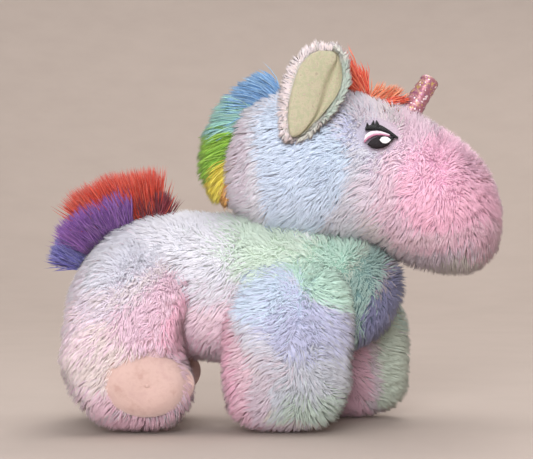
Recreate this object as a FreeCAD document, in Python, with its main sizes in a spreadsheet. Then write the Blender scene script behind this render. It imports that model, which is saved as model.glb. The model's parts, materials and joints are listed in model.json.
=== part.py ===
"""Plush unicorn, sewn from fur-fabric panels over polyester stuffing.

Millimetres. +X points to the nose, +Z is up and +Y is the animal's left. The origin is on the
floor under the middle of the toy. Every soft form (trunk, head, legs) is a loft of ellipses held
in a box of driving dimensions. The fabric is the outer form less a smaller copy of it, and that
smaller copy is the stuffing. Panels are regions of the fabric between seams.
"""

import FreeCAD, Part
import os

DIMENSIONS = {
    "skin": 5.0,
    "trunk_rear": -133.0,
    "trunk_length": 210.0,
    "trunk_low": 40.0,
    "trunk_height": 88.0,
    "trunk_half": 43.0,
    "seam_height": 67.0,
    "belly_half": 20.5,
    "head_rear": -32.0,
    "head_length": 167.0,
    "head_low": 98.0,
    "head_height": 108.0,
    "head_half": 46.0,
    "head_round": 46.0,
    "gusset_half": 11.0,
    "gusset_start": 44.0,
    "neck_place": 14.0,
    "neck_pivot": 128.0,
    "skull_height": 161.0,
    "ball_radius": 22.0,
    "plug_radius": 17.0,
    "plug_low": 92.0,
    "turn_gap": 0.8,
    "socket_wall": 2.0,
    "seat_gap": 8.0,
    "leg_middle": 38.5,
    "leg_half": 16.5,
    "leg_seam_ahead": 5.0,
    "recess_gap": 1.8,
    "right_front_rear": -32.0,
    "right_front_length": 74.0,
    "right_front_height": 106.0,
    "right_front_pivot_x": 6.0,
    "right_front_pivot_z": 70.0,
    "right_front_disc": 36.0,
    "left_front_rear": -10.0,
    "left_front_length": 87.0,
    "left_front_height": 104.0,
    "left_front_pivot_x": 26.0,
    "left_front_pivot_z": 70.0,
    "left_front_disc": 35.0,
    "hind_rear": -130.0,
    "hind_length": 81.0,
    "hind_height": 116.0,
    "hind_pivot_x": -84.0,
    "hind_pivot_z": 85.0,
    "hind_disc": 39.0,
    "pad_x": -77.0,
    "pad_z": 30.0,
    "pad_long": 25.0,
    "pad_high": 18.0,
    "thread_radius": 0.9,
    "thread_hole": 1.4,
    "thread_inner": 12.0,
    "knot_place": 52.6,
    "knot_radius": 2.0,
    "dimple_radius": 3.2,
    "ear_x": 20.0,
    "ear_y": 41.0,
    "ear_z": 202.0,
    "ear_long": 27.0,
    "ear_wide": 20.0,
    "ear_thick": 5.0,
    "lining_share": 0.84,
    "lining_thick": 3.0,
    "ear_lean": 10.0,
    "horn_x": 78.0,
    "horn_z": 191.0,
    "horn_length": 25.0,
    "horn_base": 5.4,
    "horn_tip": 4.4,
    "horn_lean": 31.0,
    "horn_skin": 1.2,
    "horn_round": 3.0,
    "horn_inner_tip": 2.2,
    "horn_gap": 0.4,
    "strip_thick": 1.6,
    "tuft_half": 7.0,
    "mane_tuft_rise": 9.0,
    "mane_lift": 0.4,
    "mane_sink": 2.0,
    "forelock_x": 34.0,
    "forelock_z": 192.0,
    "forelock_slope": 15.0,
    "forelock_length": 42.0,
    "forelock_sink": 14.0,
    "forelock_rise": 16.0,
    "tail_centre_x": -80.0,
    "tail_centre_z": 75.0,
    "tail_inner": 55.0,
    "tail_strip_half": 3.0,
    "eye_x": 60.0,
    "eye_z": 176.5,
    "eye_long": 9.0,
    "eye_high": 7.0,
    "lash_wide": 2.2,
    "highlight_long": 3.4,
    "highlight_high": 2.6,
    "highlight_ahead": 2.6,
    "highlight_up": 0.4,
    "lid_edge": 1.0,
    "thread_build": 1.0,
    "stitch_radius": 0.6,
    "stitch_length": 5.0,
    "stitch_pitch": 6.0,
    "stitch_start": -23.0,
}

# Stations of the lofts: place along the form, then the low and high edge across it and the
# half width, each as a share of the form's box.
TRUNK = (
    (0.000, 0.25, 0.43, 0.16),
    (0.019, 0.11, 0.57, 0.42),
    (0.062, 0.06, 0.72, 0.63),
    (0.133, 0.045, 0.875, 0.81),
    (0.252, 0.06, 1.00, 0.94),
    (0.395, 0.02, 1.00, 0.98),
    (0.538, 0.00, 0.98, 0.98),
    (0.681, 0.00, 0.94, 0.955),
    (0.824, 0.03, 0.80, 0.78),
    (0.919, 0.12, 0.64, 0.52),
    (0.976, 0.22, 0.52, 0.29),
    (1.000, 0.30, 0.44, 0.13),
)
HEAD = (
    (0.000, 0.514, 0.653, 0.15),
    (0.021, 0.420, 0.746, 0.38),
    (0.072, 0.296, 0.870, 0.67),
    (0.156, 0.200, 0.967, 0.90),
    (0.275, 0.157, 1.000, 1.00),
    (0.407, 0.200, 1.000, 0.90),
    (0.539, 0.120, 0.954, 0.90),
    (0.671, 0.023, 0.852, 0.89),
    (0.802, 0.000, 0.722, 0.80),
    (0.904, 0.010, 0.574, 0.63),
    (0.970, 0.083, 0.444, 0.39),
    (1.000, 0.176, 0.333, 0.17),
)
RIGHT_FRONT = (
    (0.000, 0.216, 0.784, 0.62),
    (0.028, 0.095, 0.892, 0.80),
    (0.113, 0.027, 0.960, 0.93),
    (0.283, 0.000, 0.986, 1.00),
    (0.519, 0.007, 0.993, 1.00),
    (0.660, 0.027, 1.000, 1.00),
    (0.811, 0.081, 0.946, 0.95),
    (0.924, 0.208, 0.819, 0.80),
    (1.000, 0.400, 0.630, 0.45),
)
LEFT_FRONT = (
    (0.000, 0.368, 0.897, 0.62),
    (0.029, 0.276, 0.977, 0.80),
    (0.115, 0.230, 1.000, 0.93),
    (0.288, 0.184, 1.000, 1.00),
    (0.481, 0.115, 0.966, 1.00),
    (0.596, 0.046, 0.885, 1.00),
    (0.673, 0.011, 0.816, 1.00),
    (0.827, 0.057, 0.770, 0.95),
    (0.930, 0.160, 0.667, 0.80),
    (1.000, 0.290, 0.540, 0.50),
)
HIND = (
    (0.000, 0.321, 0.815, 0.62),
    (0.026, 0.222, 0.901, 0.80),
    (0.103, 0.160, 0.975, 0.93),
    (0.190, 0.110, 1.000, 1.00),
    (0.293, 0.050, 0.963, 1.00),
    (0.397, 0.000, 0.864, 1.00),
    (0.500, 0.037, 0.864, 1.00),
    (0.603, 0.148, 0.901, 1.00),
    (0.733, 0.160, 0.975, 1.00),
    (0.862, 0.210, 0.926, 0.95),
    (0.957, 0.321, 0.815, 0.80),
    (1.000, 0.432, 0.704, 0.45),
)

# Tufts as sectors about the head's or the rump's round back: colour, first and last angle from
# the nose direction in degrees.
MANE_TUFTS = (
    ("blue", 112, 130),
    ("teal", 131, 154),
    ("green", 155, 177),
    ("yellow", 178, 193),
    ("orange", 194, 202),
)
# The tail's tufts have their own outer radius.
TAIL_TUFTS = (
    ("maroon", 84, 94, 70),
    ("red", 95, 120, 82),
    ("purple", 121, 139, 72),
    ("blue", 140, 153, 63),
)
STITCH_COUNT = 7
WIDE = 400.0

doc = FreeCAD.newDocument("plush_unicorn")
NODES = []


def make_sheet():
    """Write every driving dimension into the spreadsheet under its alias."""
    sheet = doc.addObject("Spreadsheet::Sheet", "Sizes")
    for row, (alias, size) in enumerate(DIMENSIONS.items(), start=1):
        sheet.set(f"A{row}", alias)
        sheet.set(f"B{row}", str(size))
        sheet.setAlias(f"B{row}", alias)
    doc.recompute()
    return sheet


def bind(thing, **formulas):
    """Tie properties to formulas over the sheet; a double underscore stands for a dot."""
    for path, formula in formulas.items():
        text = str(formula)
        for alias in sorted(DIMENSIONS, key=len, reverse=True):
            text = text.replace(f"<{alias}>", f"Sizes.{alias}")
        thing.setExpression(path.replace("__", "."), text)
    return thing


def place(thing, spot=(0, 0, 0), turn=None):
    """Put an object at a spot with an optional rotation."""
    thing.Placement = FreeCAD.Placement(FreeCAD.Vector(*spot), turn or FreeCAD.Rotation())
    return thing


def about(axis, degrees):
    """A rotation about one of the main axes."""
    return FreeCAD.Rotation(FreeCAD.Vector(*axis), degrees)


def cut(name, base, tool):
    """Base less tool."""
    result = doc.addObject("Part::Cut", name)
    result.Base = base
    result.Tool = tool
    return result


def common(name, base, tool):
    """What base and tool share."""
    result = doc.addObject("Part::Common", name)
    result.Base = base
    result.Tool = tool
    return result


def fuse(name, shapes):
    """Several shapes as one."""
    result = doc.addObject("Part::MultiFuse", name)
    result.Shapes = shapes
    return result


def node(thing, label):
    """Keep an object as the sub-part of this label."""
    thing.Label = label
    NODES.append(thing)
    return thing


def box(name, x, y, z, sizes):
    """A box with formulas for its low corner and its three sizes."""
    shape = doc.addObject("Part::Box", name)
    bind(shape, Length=sizes[0], Width=sizes[1], Height=sizes[2])
    bind(shape, Placement__Base__x=x, Placement__Base__y=y, Placement__Base__z=z)
    return shape


def half_space(name, axis, start, sign):
    """A large box beyond a plane across one axis; start is a formula."""
    corner = [f"-{WIDE / 2}"] * 3
    corner["xyz".index(axis)] = start if sign > 0 else f"({start}) - {WIDE}"
    return box(name, *corner, (WIDE, WIDE, WIDE))


def pin(name, x, y, z, radius, length):
    """A cylinder along +Y that starts at a spot; all sizes are formulas."""
    shape = doc.addObject("Part::Cylinder", name)
    place(shape, turn=about((1, 0, 0), -90))
    bind(shape, Radius=radius, Height=length)
    bind(shape, Placement__Base__x=x, Placement__Base__y=y, Placement__Base__z=z)
    return shape


def ball(name, x, y, z, radius):
    """A sphere."""
    shape = doc.addObject("Part::Sphere", name)
    bind(shape, Radius=radius)
    bind(shape, Placement__Base__x=x, Placement__Base__y=y, Placement__Base__z=z)
    return shape


def lengthwise_form(name, part, stations, inset):
    """A loft along X of upright ellipses in the part's box, drawn in by the inset all round."""
    sections = []
    for count, (along, low, high, wide) in enumerate(stations):
        ring = doc.addObject("Part::Ellipse", f"{name}_ring_{count}")
        place(ring, turn=about((0, 1, 0), -90))
        tall = f"(<{part}_height> - 2 * {inset})"
        bind(
            ring,
            MajorRadius=f"{tall} * {(high - low) / 2}",
            MinorRadius=f"min({tall} * {(high - low) / 2}; (<{part}_half> - {inset}) * {wide})",
            Placement__Base__x=f"<{part}_rear> + {inset} + (<{part}_length> - 2 * {inset}) * {along}",
            Placement__Base__z=f"<{part}_low> + {inset} + {tall} * {(high + low) / 2}",
        )
        sections.append(ring)
    return loft(name, sections)


def upright_form(name, part, stations, side, inset):
    """A loft along Z of flat ellipses for a leg on one side, drawn in by the inset all round."""
    sections = []
    for count, (along, low, high, wide) in enumerate(stations):
        ring = doc.addObject("Part::Ellipse", f"{name}_ring_{count}")
        long = f"(<{part}_length> - 2 * {inset})"
        bind(
            ring,
            MajorRadius=f"{long} * {(high - low) / 2}",
            MinorRadius=f"(<leg_half> - {inset}) * {wide}",
            Placement__Base__x=f"<{part}_rear> + {inset} + {long} * {(high + low) / 2}",
            Placement__Base__y=f"{side} * <leg_middle>",
            Placement__Base__z=f"{inset} + (<{part}_height> - 2 * {inset}) * {along}",
        )
        sections.append(ring)
    return loft(name, sections)


def loft(name, sections):
    """A closed smooth solid through ring sections."""
    shape = doc.addObject("Part::Loft", name)
    shape.Sections = sections
    shape.Solid = True
    shape.Ruled = False
    return shape


def sector(name, centre, inner, outer, first, last, half):
    """A slice of a ring about Y between two angles, each side of the middle plane."""
    turn = about((1, 0, 0), -90).multiply(about((0, 0, 1), -last))
    sides = []
    for tag, radius in (("outer", outer), ("inner", inner)):
        disc = doc.addObject("Part::Cylinder", f"{name}_{tag}")
        disc.Angle = last - first
        place(disc, turn=turn)
        bind(disc, Radius=radius, Height=f"2 * {half}")
        bind(
            disc,
            Placement__Base__x=centre[0],
            Placement__Base__y=f"-1 * {half}",
            Placement__Base__z=centre[1],
        )
        sides.append(disc)
    return cut(name, *sides)


def trunk_room(name, grow):
    """What the trunk gives up for the legs, head and neck; grow widens it for the stuffing."""
    tools = []
    for side, tag in ((1, "left"), (-1, "right")):
        start = f"<belly_half> - {grow}" if side > 0 else f"-{WIDE / 2} - <belly_half> + {grow}"
        under = box(
            f"{name}_under_{tag}",
            f"-{WIDE / 2}",
            start,
            f"-{WIDE / 2}",
            (WIDE, WIDE / 2, f"{WIDE / 2} + <seam_height> + {grow}"),
        )
        tools.append(under)
        for part in (f"{tag}_front", "hind"):
            tools.append(
                pin(
                    f"{name}_recess_{tag}_{part}",
                    f"<{part}_pivot_x>",
                    start,
                    f"<{part}_pivot_z>",
                    f"<{part}_disc> + <recess_gap> + {grow}",
                    WIDE / 2,
                )
            )
    tools.append(
        ball(
            f"{name}_seat",
            "<neck_place>",
            0,
            "<skull_height>",
            f"<head_round> + <seat_gap> + {grow}",
        )
    )
    bore = doc.addObject("Part::Cylinder", f"{name}_bore")
    bind(
        bore,
        Radius=f"<plug_radius> + <turn_gap> + {grow}",
        Height=WIDE,
        Placement__Base__x="<neck_place>",
        Placement__Base__z=f"<plug_low> - <turn_gap> - {grow}",
    )
    tools.append(bore)
    return fuse(name, tools)


def make_threads():
    """Strong thread from the trunk through each leg's pivot, with a knot in a dimple outside."""
    threads = {}
    for side, tag in ((1, "left"), (-1, "right")):
        for part, leg in ((f"{tag}_front", "front"), ("hind", "hind")):
            x, z = f"<{part}_pivot_x>", f"<{part}_pivot_z>"
            length = "<knot_place> - <thread_inner>"
            start = "<thread_inner>" if side > 0 else "-1 * <knot_place>"
            strand = pin(f"strand_{leg}_{tag}", x, start, z, "<thread_radius>", length)
            knot = ball(f"knot_{leg}_{tag}", x, f"{side} * <knot_place>", z, "<knot_radius>")
            thread = fuse(f"thread_{leg}_{tag}", [strand, knot])
            threads[(leg, tag)] = node(thread, f"joint_thread_{leg}_{tag}")
    return threads


def make_trunk(threads):
    """Stuffing, two side panels, the belly gusset and the stitches that close it."""
    form = lengthwise_form("trunk_form", "trunk", TRUNK, "0")
    outer = cut("trunk_outer", form, trunk_room("room_outside", "0"))
    core = lengthwise_form("trunk_core", "trunk", TRUNK, "<skin>")
    stuffing_room = cut("trunk_inside", core, trunk_room("room_inside", "<skin>"))
    strands = fuse("trunk_strands", list(threads.values()))
    node(cut("trunk_stuffing", stuffing_room, strands), "torso_stuffing")
    cloth = cut("trunk_cloth", cut("trunk_shell", outer, stuffing_room), strands)
    upper = common("trunk_upper", cloth, half_space("above_seam", "z", "<seam_height>", 1))
    left = half_space("trunk_left_half", "y", "0", 1)
    right = half_space("trunk_right_half", "y", "0", -1)
    node(common("trunk_side_left", upper, left), "side_panel_left")
    node(common("trunk_side_right", upper, right), "side_panel_right")
    stitches = make_stitches()
    lower = common("trunk_lower", cloth, half_space("below_seam", "z", "<seam_height>", -1))
    node(cut("trunk_belly", lower, stitches), "belly_gusset")
    node(stitches, "closing_stitches")


def make_stitches():
    """Ladder stitches across the belly, where the toy was closed after stuffing."""
    bars = []
    for count in range(STITCH_COUNT):
        bar = pin(
            f"stitch_{count}",
            f"<stitch_start> + {count} * <stitch_pitch>",
            "-<stitch_length> / 2",
            "<trunk_low> + <stitch_radius> / 2",
            "<stitch_radius>",
            "<stitch_length>",
        )
        bars.append(bar)
    group = doc.addObject("Part::Compound", "stitches")
    group.Links = bars
    return group


def make_neck():
    """A stuffed plug that turns in the trunk, with a ball on top that the head nods on."""
    body = doc.addObject("PartDesign::Body", "neck_body")
    plug = body.newObject("PartDesign::AdditiveCylinder", "neck_plug_stem")
    bind(plug, Radius="<plug_radius>", Height="<neck_pivot> - <plug_low>")
    doc.recompute()
    dome = body.newObject("PartDesign::AdditiveSphere", "neck_plug_dome")
    bind(dome, Radius="<ball_radius>")
    place(dome, (0, 0, DIMENSIONS["neck_pivot"] - DIMENSIONS["plug_low"]))
    doc.recompute()
    place(body, (DIMENSIONS["neck_place"], 0, DIMENSIONS["plug_low"]))
    return node(body, "neck_plug")


def make_head():
    """Head stuffing, two side panels and the gusset between them over the nose and brow."""
    form = lengthwise_form("head_form", "head", HEAD, "0")
    core = lengthwise_form("head_core", "head", HEAD, "<skin>")
    socket = ball("neck_socket", "<neck_place>", 0, "<neck_pivot>", "<ball_radius> + <turn_gap>")
    wall = ball(
        "neck_socket_wall",
        "<neck_place>",
        0,
        "<neck_pivot>",
        "<ball_radius> + <turn_gap> + <socket_wall>",
    )
    stuffing = node(cut("head_inside", core, wall), "head_stuffing")
    shell = cut("head_cloth", cut("head_shell", form, stuffing), socket)
    strip = box(
        "gusset_strip",
        "<gusset_start>",
        "-1 * <gusset_half>",
        "0",
        (WIDE, "2 * <gusset_half>", WIDE),
    )
    node(common("head_middle", shell, strip), "head_gusset")
    sides = cut("head_sides", shell, strip)
    for tag, sign in (("left", 1), ("right", -1)):
        half = half_space(f"head_half_{tag}", "y", "0", sign)
        node(common(f"head_side_{tag}", sides, half), f"head_panel_{tag}")
    return form


def make_eyes(head_form):
    """Each eye in four embroidered fields, built up a little over the cloth."""
    raised = lengthwise_form("head_raised", "head", HEAD, "-<thread_build>")
    layer = cut("embroidery_layer", raised, head_form)
    for tag, sign in (("left", 1), ("right", -1)):
        start = "0" if sign > 0 else f"-{WIDE / 4}"

        def field(name, x, z, long, high):
            """An upright oval prism on this side of the head."""
            oval = doc.addObject("Part::Ellipse", f"{name}_oval_{tag}")
            place(oval, turn=about((1, 0, 0), 90))
            bind(oval, MajorRadius=long, MinorRadius=high)
            bind(oval, Placement__Base__x=x, Placement__Base__z=z)
            prism = doc.addObject("Part::Extrusion", f"{name}_prism_{tag}")
            prism.Base = oval
            prism.Dir = FreeCAD.Vector(0, sign * WIDE / 4, 0)
            prism.Solid = True
            return prism

        eye = field("eye", "<eye_x>", "<eye_z>", "<eye_long>", "<eye_high>")
        brow = field(
            "brow",
            "<eye_x>",
            "<eye_z> + <lid_edge>",
            "<eye_long> + <lash_wide>",
            "<eye_high> + <lash_wide>",
        )
        light = field(
            "light",
            "<eye_x> + <highlight_ahead>",
            "<eye_z> + <highlight_up>",
            "<highlight_long>",
            "<highlight_high>",
        )
        above = box(
            f"above_eye_{tag}",
            "<eye_x> - 2 * <eye_long>",
            start,
            "<eye_z> + <lid_edge>",
            ("4 * <eye_long>", WIDE / 4, "4 * <eye_high>"),
        )
        patch = common(f"eye_patch_{tag}", layer, eye)
        dark_and_lid = cut(f"eye_rest_{tag}", patch, light)
        node(common(f"eye_light_{tag}", layer, light), f"eye_highlight_{tag}")
        node(cut(f"eye_dark_{tag}", dark_and_lid, above), f"eye_pupil_{tag}")
        node(common(f"eye_cover_{tag}", dark_and_lid, above), f"eye_lid_{tag}")
        arc = cut(f"brow_arc_{tag}", common(f"brow_top_{tag}", brow, above), eye)
        node(common(f"eye_lash_line_{tag}", layer, arc), f"eye_lashes_{tag}")


def make_legs():
    """Four legs: stuffing, an inner panel and outer panels, with a hole for the joint thread."""
    for leg, tag, stations in (
        ("front", "right", RIGHT_FRONT),
        ("front", "left", LEFT_FRONT),
        ("hind", "right", HIND),
        ("hind", "left", HIND),
    ):
        side = 1 if tag == "left" else -1
        part = f"{tag}_front" if leg == "front" else "hind"
        key = f"{leg}_{tag}"
        outer = upright_form(f"{key}_form", part, stations, side, "0")
        core = upright_form(f"{key}_core", part, stations, side, "<skin>")
        hole = pin(
            f"{key}_hole",
            f"<{part}_pivot_x>",
            "0" if side > 0 else f"-{WIDE / 4}",
            f"<{part}_pivot_z>",
            "<thread_hole>",
            WIDE / 4,
        )
        dimple = ball(
            f"{key}_dimple",
            f"<{part}_pivot_x>",
            f"{side} * <knot_place>",
            f"<{part}_pivot_z>",
            "<dimple_radius>",
        )
        thread_room = fuse(f"{key}_thread_room", [hole, dimple])
        node(cut(f"{key}_filling", core, thread_room), f"{leg}_leg_{tag}_stuffing")
        cloth = cut(f"{key}_cloth", cut(f"{key}_shell", outer, core), thread_room)
        beyond = half_space(f"{key}_beyond", "y", f"{side} * <leg_middle>", side)
        node(cut(f"{key}_inside", cloth, beyond), f"{leg}_leg_{tag}_inner_panel")
        face = common(f"{key}_face", cloth, beyond)
        if leg == "front":
            ahead = half_space(f"{key}_ahead", "x", f"<{part}_pivot_x> + <leg_seam_ahead>", 1)
            node(common(f"{key}_face_front", face, ahead), f"front_leg_{tag}_front_panel")
            node(cut(f"{key}_face_rear", face, ahead), f"front_leg_{tag}_rear_panel")
        else:
            make_foot_pad(key, tag, side, face)


def make_foot_pad(key, tag, side, face):
    """The smooth oval pad let into the outer face of a hind foot."""
    oval = doc.addObject("Part::Ellipse", f"{key}_pad_oval")
    place(oval, turn=about((1, 0, 0), 90))
    bind(
        oval,
        MajorRadius="<pad_long>",
        MinorRadius="<pad_high>",
        Placement__Base__x="<pad_x>",
        Placement__Base__z="<pad_z>",
    )
    prism = doc.addObject("Part::Extrusion", f"{key}_pad_prism")
    prism.Base = oval
    prism.Dir = FreeCAD.Vector(0, side * WIDE / 4, 0)
    prism.Solid = True
    node(common(f"{key}_pad", face, prism), f"hind_leg_{tag}_foot_pad")
    node(cut(f"{key}_outside", face, prism), f"hind_leg_{tag}_outer_panel")


def make_ears():
    """Each ear is a furry back and a smaller lining, half of a flat oval each."""
    for tag, side in (("left", 1), ("right", -1)):
        turn = about((1, 0, 0), side * DIMENSIONS["ear_lean"])
        spot = (DIMENSIONS["ear_x"], side * DIMENSIONS["ear_y"], DIMENSIONS["ear_z"])
        outward = half_space(f"ear_outward_{tag}", "y", "0", side)
        back = doc.addObject("Part::Ellipsoid", f"ear_back_form_{tag}")
        bind(back, Radius1="<ear_long>", Radius2="<ear_wide>", Radius3="<ear_thick>")
        back_half = place(cut(f"ear_back_{tag}", back, outward), spot, turn)
        node(back_half, f"ear_back_panel_{tag}")
        lining = doc.addObject("Part::Ellipsoid", f"ear_lining_form_{tag}")
        bind(
            lining,
            Radius1="<ear_long> * <lining_share>",
            Radius2="<ear_wide> * <lining_share>",
            Radius3="<lining_thick>",
        )
        lining_half = place(common(f"ear_lining_{tag}", lining, outward), spot, turn)
        node(lining_half, f"ear_lining_panel_{tag}")


def horn_place():
    """Where the horn's base stands and how it leans."""
    spot = (DIMENSIONS["horn_x"], 0, DIMENSIONS["horn_z"])
    return spot, about((0, 1, 0), DIMENSIONS["horn_lean"])


def make_horn(head_form):
    """A short blunt horn: a glittered cover over its own stuffing, sewn to the brow."""
    spot, turn = horn_place()
    body = doc.addObject("PartDesign::Body", "horn_body")
    cone = body.newObject("PartDesign::AdditiveCone", "horn_cone")
    bind(cone, Radius1="<horn_base>", Radius2="<horn_tip>", Height="<horn_length>")
    doc.recompute()
    rim = [
        f"Edge{count}"
        for count, edge in enumerate(cone.Shape.Edges, start=1)
        if edge.BoundBox.ZMin > DIMENSIONS["horn_length"] - 0.1
    ]
    rounding = body.newObject("PartDesign::Fillet", "horn_end")
    rounding.Base = (cone, rim)
    bind(rounding, Radius="<horn_round>")
    doc.recompute()
    place(body, spot, turn)
    filling = doc.addObject("Part::Cone", "horn_filling")
    bind(
        filling,
        Radius1="<horn_base> - <horn_skin>",
        Radius2="<horn_inner_tip>",
        Height="<horn_length> - 2 * <horn_skin>",
    )
    place(filling, spot, turn)
    node(cut("horn_inside", filling, head_form), "horn_stuffing")
    node(cut("horn_outside", cut("horn_wall", body, filling), head_form), "horn_cover")


def make_mane(head_form):
    """A sewn strip down the back of the head with five coloured tufts on it."""
    centre = ("<neck_place>", "<skull_height>")
    inner = "<head_round> - <mane_sink>"
    foot = "<head_round> + <mane_lift> + <strip_thick>"
    first, last = MANE_TUFTS[0][1], MANE_TUFTS[-1][2]
    strip = sector("mane_tape", centre, inner, foot, first, last, "<tuft_half>")
    node(cut("mane_tape_trimmed", strip, head_form), "mane_strip")
    for colour, start, end in MANE_TUFTS:
        rise = f"{foot} + <mane_tuft_rise>"
        tuft = sector(f"mane_{colour}", centre, foot, rise, start, end, "<tuft_half>")
        node(tuft, f"mane_tuft_{colour}")


def make_forelock(head_form):
    """A short tuft between the ears and the horn on its own strip, laid along the crown."""
    clearance = doc.addObject("Part::Cylinder", "horn_clearance")
    bind(clearance, Radius="<horn_base> + <horn_gap>", Height="<horn_length>")
    place(clearance, *horn_place())
    solid = fuse("under_forelock", [head_form, clearance])
    layers = []
    for tag, lift in (("strip", "<strip_thick>"), ("tuft", "<strip_thick> + <forelock_rise>")):
        body = doc.addObject("PartDesign::Body", f"forelock_{tag}_body")
        block = body.newObject("PartDesign::AdditiveBox", f"forelock_{tag}_block")
        bind(
            block,
            Length="<forelock_length>",
            Width="2 * <tuft_half>",
            Height=f"<forelock_sink> + {lift}",
        )
        doc.recompute()
        slope = about((0, 1, 0), DIMENSIONS["forelock_slope"])
        corner = (DIMENSIONS["forelock_x"], -DIMENSIONS["tuft_half"], DIMENSIONS["forelock_z"])
        place(body, corner, slope)
        layers.append(body)
    strip, tuft = layers
    node(cut("forelock_tape", strip, solid), "forelock_strip")
    node(cut("forelock_hair", cut("forelock_top", tuft, strip), solid), "forelock_tuft")


def make_tail():
    """A sewn strip on the rump with four coloured tufts on it."""
    centre = ("<tail_centre_x>", "<tail_centre_z>")
    foot = "<tail_inner> + <strip_thick>"
    first, last = TAIL_TUFTS[0][1], TAIL_TUFTS[-1][2]
    strip = sector("tail_tape", centre, "<tail_inner>", foot, first, last, "<tail_strip_half>")
    node(strip, "tail_strip")
    for colour, start, end, outer in TAIL_TUFTS:
        tuft = sector(f"tail_{colour}", centre, foot, outer, start, end, "<tuft_half>")
        node(tuft, f"tail_tuft_{colour}")


def check_document():
    """Stop if any object failed or any sub-part has no valid solid."""
    for thing in doc.Objects:
        if "Invalid" in thing.State or "Error" in thing.State:
            raise RuntimeError(f"{thing.Name} failed: {thing.State}")
    for thing in NODES:
        shape = thing.Shape
        if shape.isNull() or not shape.isValid() or not shape.Solids:
            raise RuntimeError(f"{thing.Label} has no valid solid")


def write_nodes():
    """Write each sub-part to its own file, named by its label."""
    os.makedirs("parts", exist_ok=True)
    for thing in NODES:
        shape = thing.Shape
        shape.exportStep(f"parts/{thing.Label}.step")
        print(f"{thing.Label}: {len(shape.Solids)} solids, {shape.Volume / 1000:.2f} cm3")


def main():
    """Build the whole toy."""
    make_sheet()
    threads = make_threads()
    make_trunk(threads)
    make_neck()
    head_form = make_head()
    make_eyes(head_form)
    make_legs()
    make_ears()
    make_horn(head_form)
    make_mane(head_form)
    make_forelock(head_form)
    make_tail()
    doc.recompute()
    check_document()
    write_nodes()


main()
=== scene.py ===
"""Plush unicorn: stuffed forms, long dyed pile, mane and tail tufts, horn, ears and stitched eyes.

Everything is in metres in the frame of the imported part: +X to the nose, +Y to the animal's
left, +Z up. Each form's place comes from the boxes of the CAD nodes that it stands for.
"""

import json
import math

import bpy
import numpy as np
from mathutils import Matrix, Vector


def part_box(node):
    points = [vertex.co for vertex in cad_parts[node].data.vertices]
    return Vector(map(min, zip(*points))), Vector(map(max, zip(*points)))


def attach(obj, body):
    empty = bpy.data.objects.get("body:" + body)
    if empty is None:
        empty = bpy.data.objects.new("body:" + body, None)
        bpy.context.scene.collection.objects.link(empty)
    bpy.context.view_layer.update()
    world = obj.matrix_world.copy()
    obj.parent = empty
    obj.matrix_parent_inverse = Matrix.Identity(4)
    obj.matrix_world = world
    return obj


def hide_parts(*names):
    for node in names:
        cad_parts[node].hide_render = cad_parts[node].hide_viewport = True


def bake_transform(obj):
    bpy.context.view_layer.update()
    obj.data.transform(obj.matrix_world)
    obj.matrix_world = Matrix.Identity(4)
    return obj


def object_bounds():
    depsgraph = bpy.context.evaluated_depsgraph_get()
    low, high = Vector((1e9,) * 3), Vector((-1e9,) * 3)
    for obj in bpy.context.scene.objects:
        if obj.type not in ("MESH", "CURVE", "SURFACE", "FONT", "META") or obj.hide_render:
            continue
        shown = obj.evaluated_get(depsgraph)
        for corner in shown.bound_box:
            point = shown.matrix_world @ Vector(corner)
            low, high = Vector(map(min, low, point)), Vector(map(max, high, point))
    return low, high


bl_info = {
    "name": "Plush Unicorn",
    "version": (1, 0, 0),
    "blender": (4, 5, 0),
    "location": "View3D > Sidebar > Plush",
    "description": "Stuffs, covers and trims a small plush unicorn around its packed frame",
    "category": "Add Mesh",
}

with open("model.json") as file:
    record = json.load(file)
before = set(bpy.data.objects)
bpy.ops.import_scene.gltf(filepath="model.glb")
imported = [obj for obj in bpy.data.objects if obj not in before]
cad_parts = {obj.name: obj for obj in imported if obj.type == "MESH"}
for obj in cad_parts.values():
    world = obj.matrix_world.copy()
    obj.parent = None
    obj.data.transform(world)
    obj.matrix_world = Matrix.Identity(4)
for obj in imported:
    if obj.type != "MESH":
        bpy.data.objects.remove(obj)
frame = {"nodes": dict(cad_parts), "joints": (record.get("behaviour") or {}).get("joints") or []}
CAD_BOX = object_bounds()
MM = 0.001
SIDES = (("right", -1), ("left", 1))


# ---------------------------------------------------------------------------- colours


def linear(code):
    """Red, green, blue and alpha as linear light from an sRGB hex code."""
    value = np.array([int(code[i : i + 2], 16) for i in (0, 2, 4)]) / 255
    light = np.where(value <= 0.04045, value / 12.92, ((value + 0.055) / 1.055) ** 2.4)
    return (*light.tolist(), 1.0)


def rgb(code):
    """The same colour as three numbers in an array."""
    return np.array(linear(code)[:3])


# Dye spots: share along the form's box, share up it, colour. Near a spot the cloth has its colour, and
# between spots the colours run into each other. Some spots are painted shade or painted light
# rather than dye, and each of those is marked.
HEAD_DYES_AND_SHADE = (
    (0.500, 0.790, "bcb6c8"),
    (0.198, 0.657, "c8e2f7"),
    (0.269, 0.574, "cae6fc"),
    (0.371, 0.620, "d0dcf2"),
    (0.251, 0.944, "dadae8"),
    (0.036, 0.657, "f0c4dc"),
    (0.036, 0.435, "e8cade"),
    (0.090, 0.435, "e2e5ef"),
    (0.230, 0.300, "d4dff0"),
    (0.341, 0.352, "d6dae8"),
    (0.521, 0.213, "d3c6d4"),
    (0.581, 0.481, "ecd4e6"),
    (0.629, 0.880, "ecd0da"),
    (0.701, 0.435, "fcbcdb"),
    (0.737, 0.491, "fdbedc"),
    (0.808, 0.324, "f8b6d4"),
    (0.952, 0.296, "edb8ca"),
    # Painted shade: the next two spots darken the muzzle where it turns under.
    (0.930, 0.120, "bca5a6"),
    (0.880, 0.074, "b9aea9"),
    (0.772, 0.009, "cbc1bc"),
)
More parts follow.
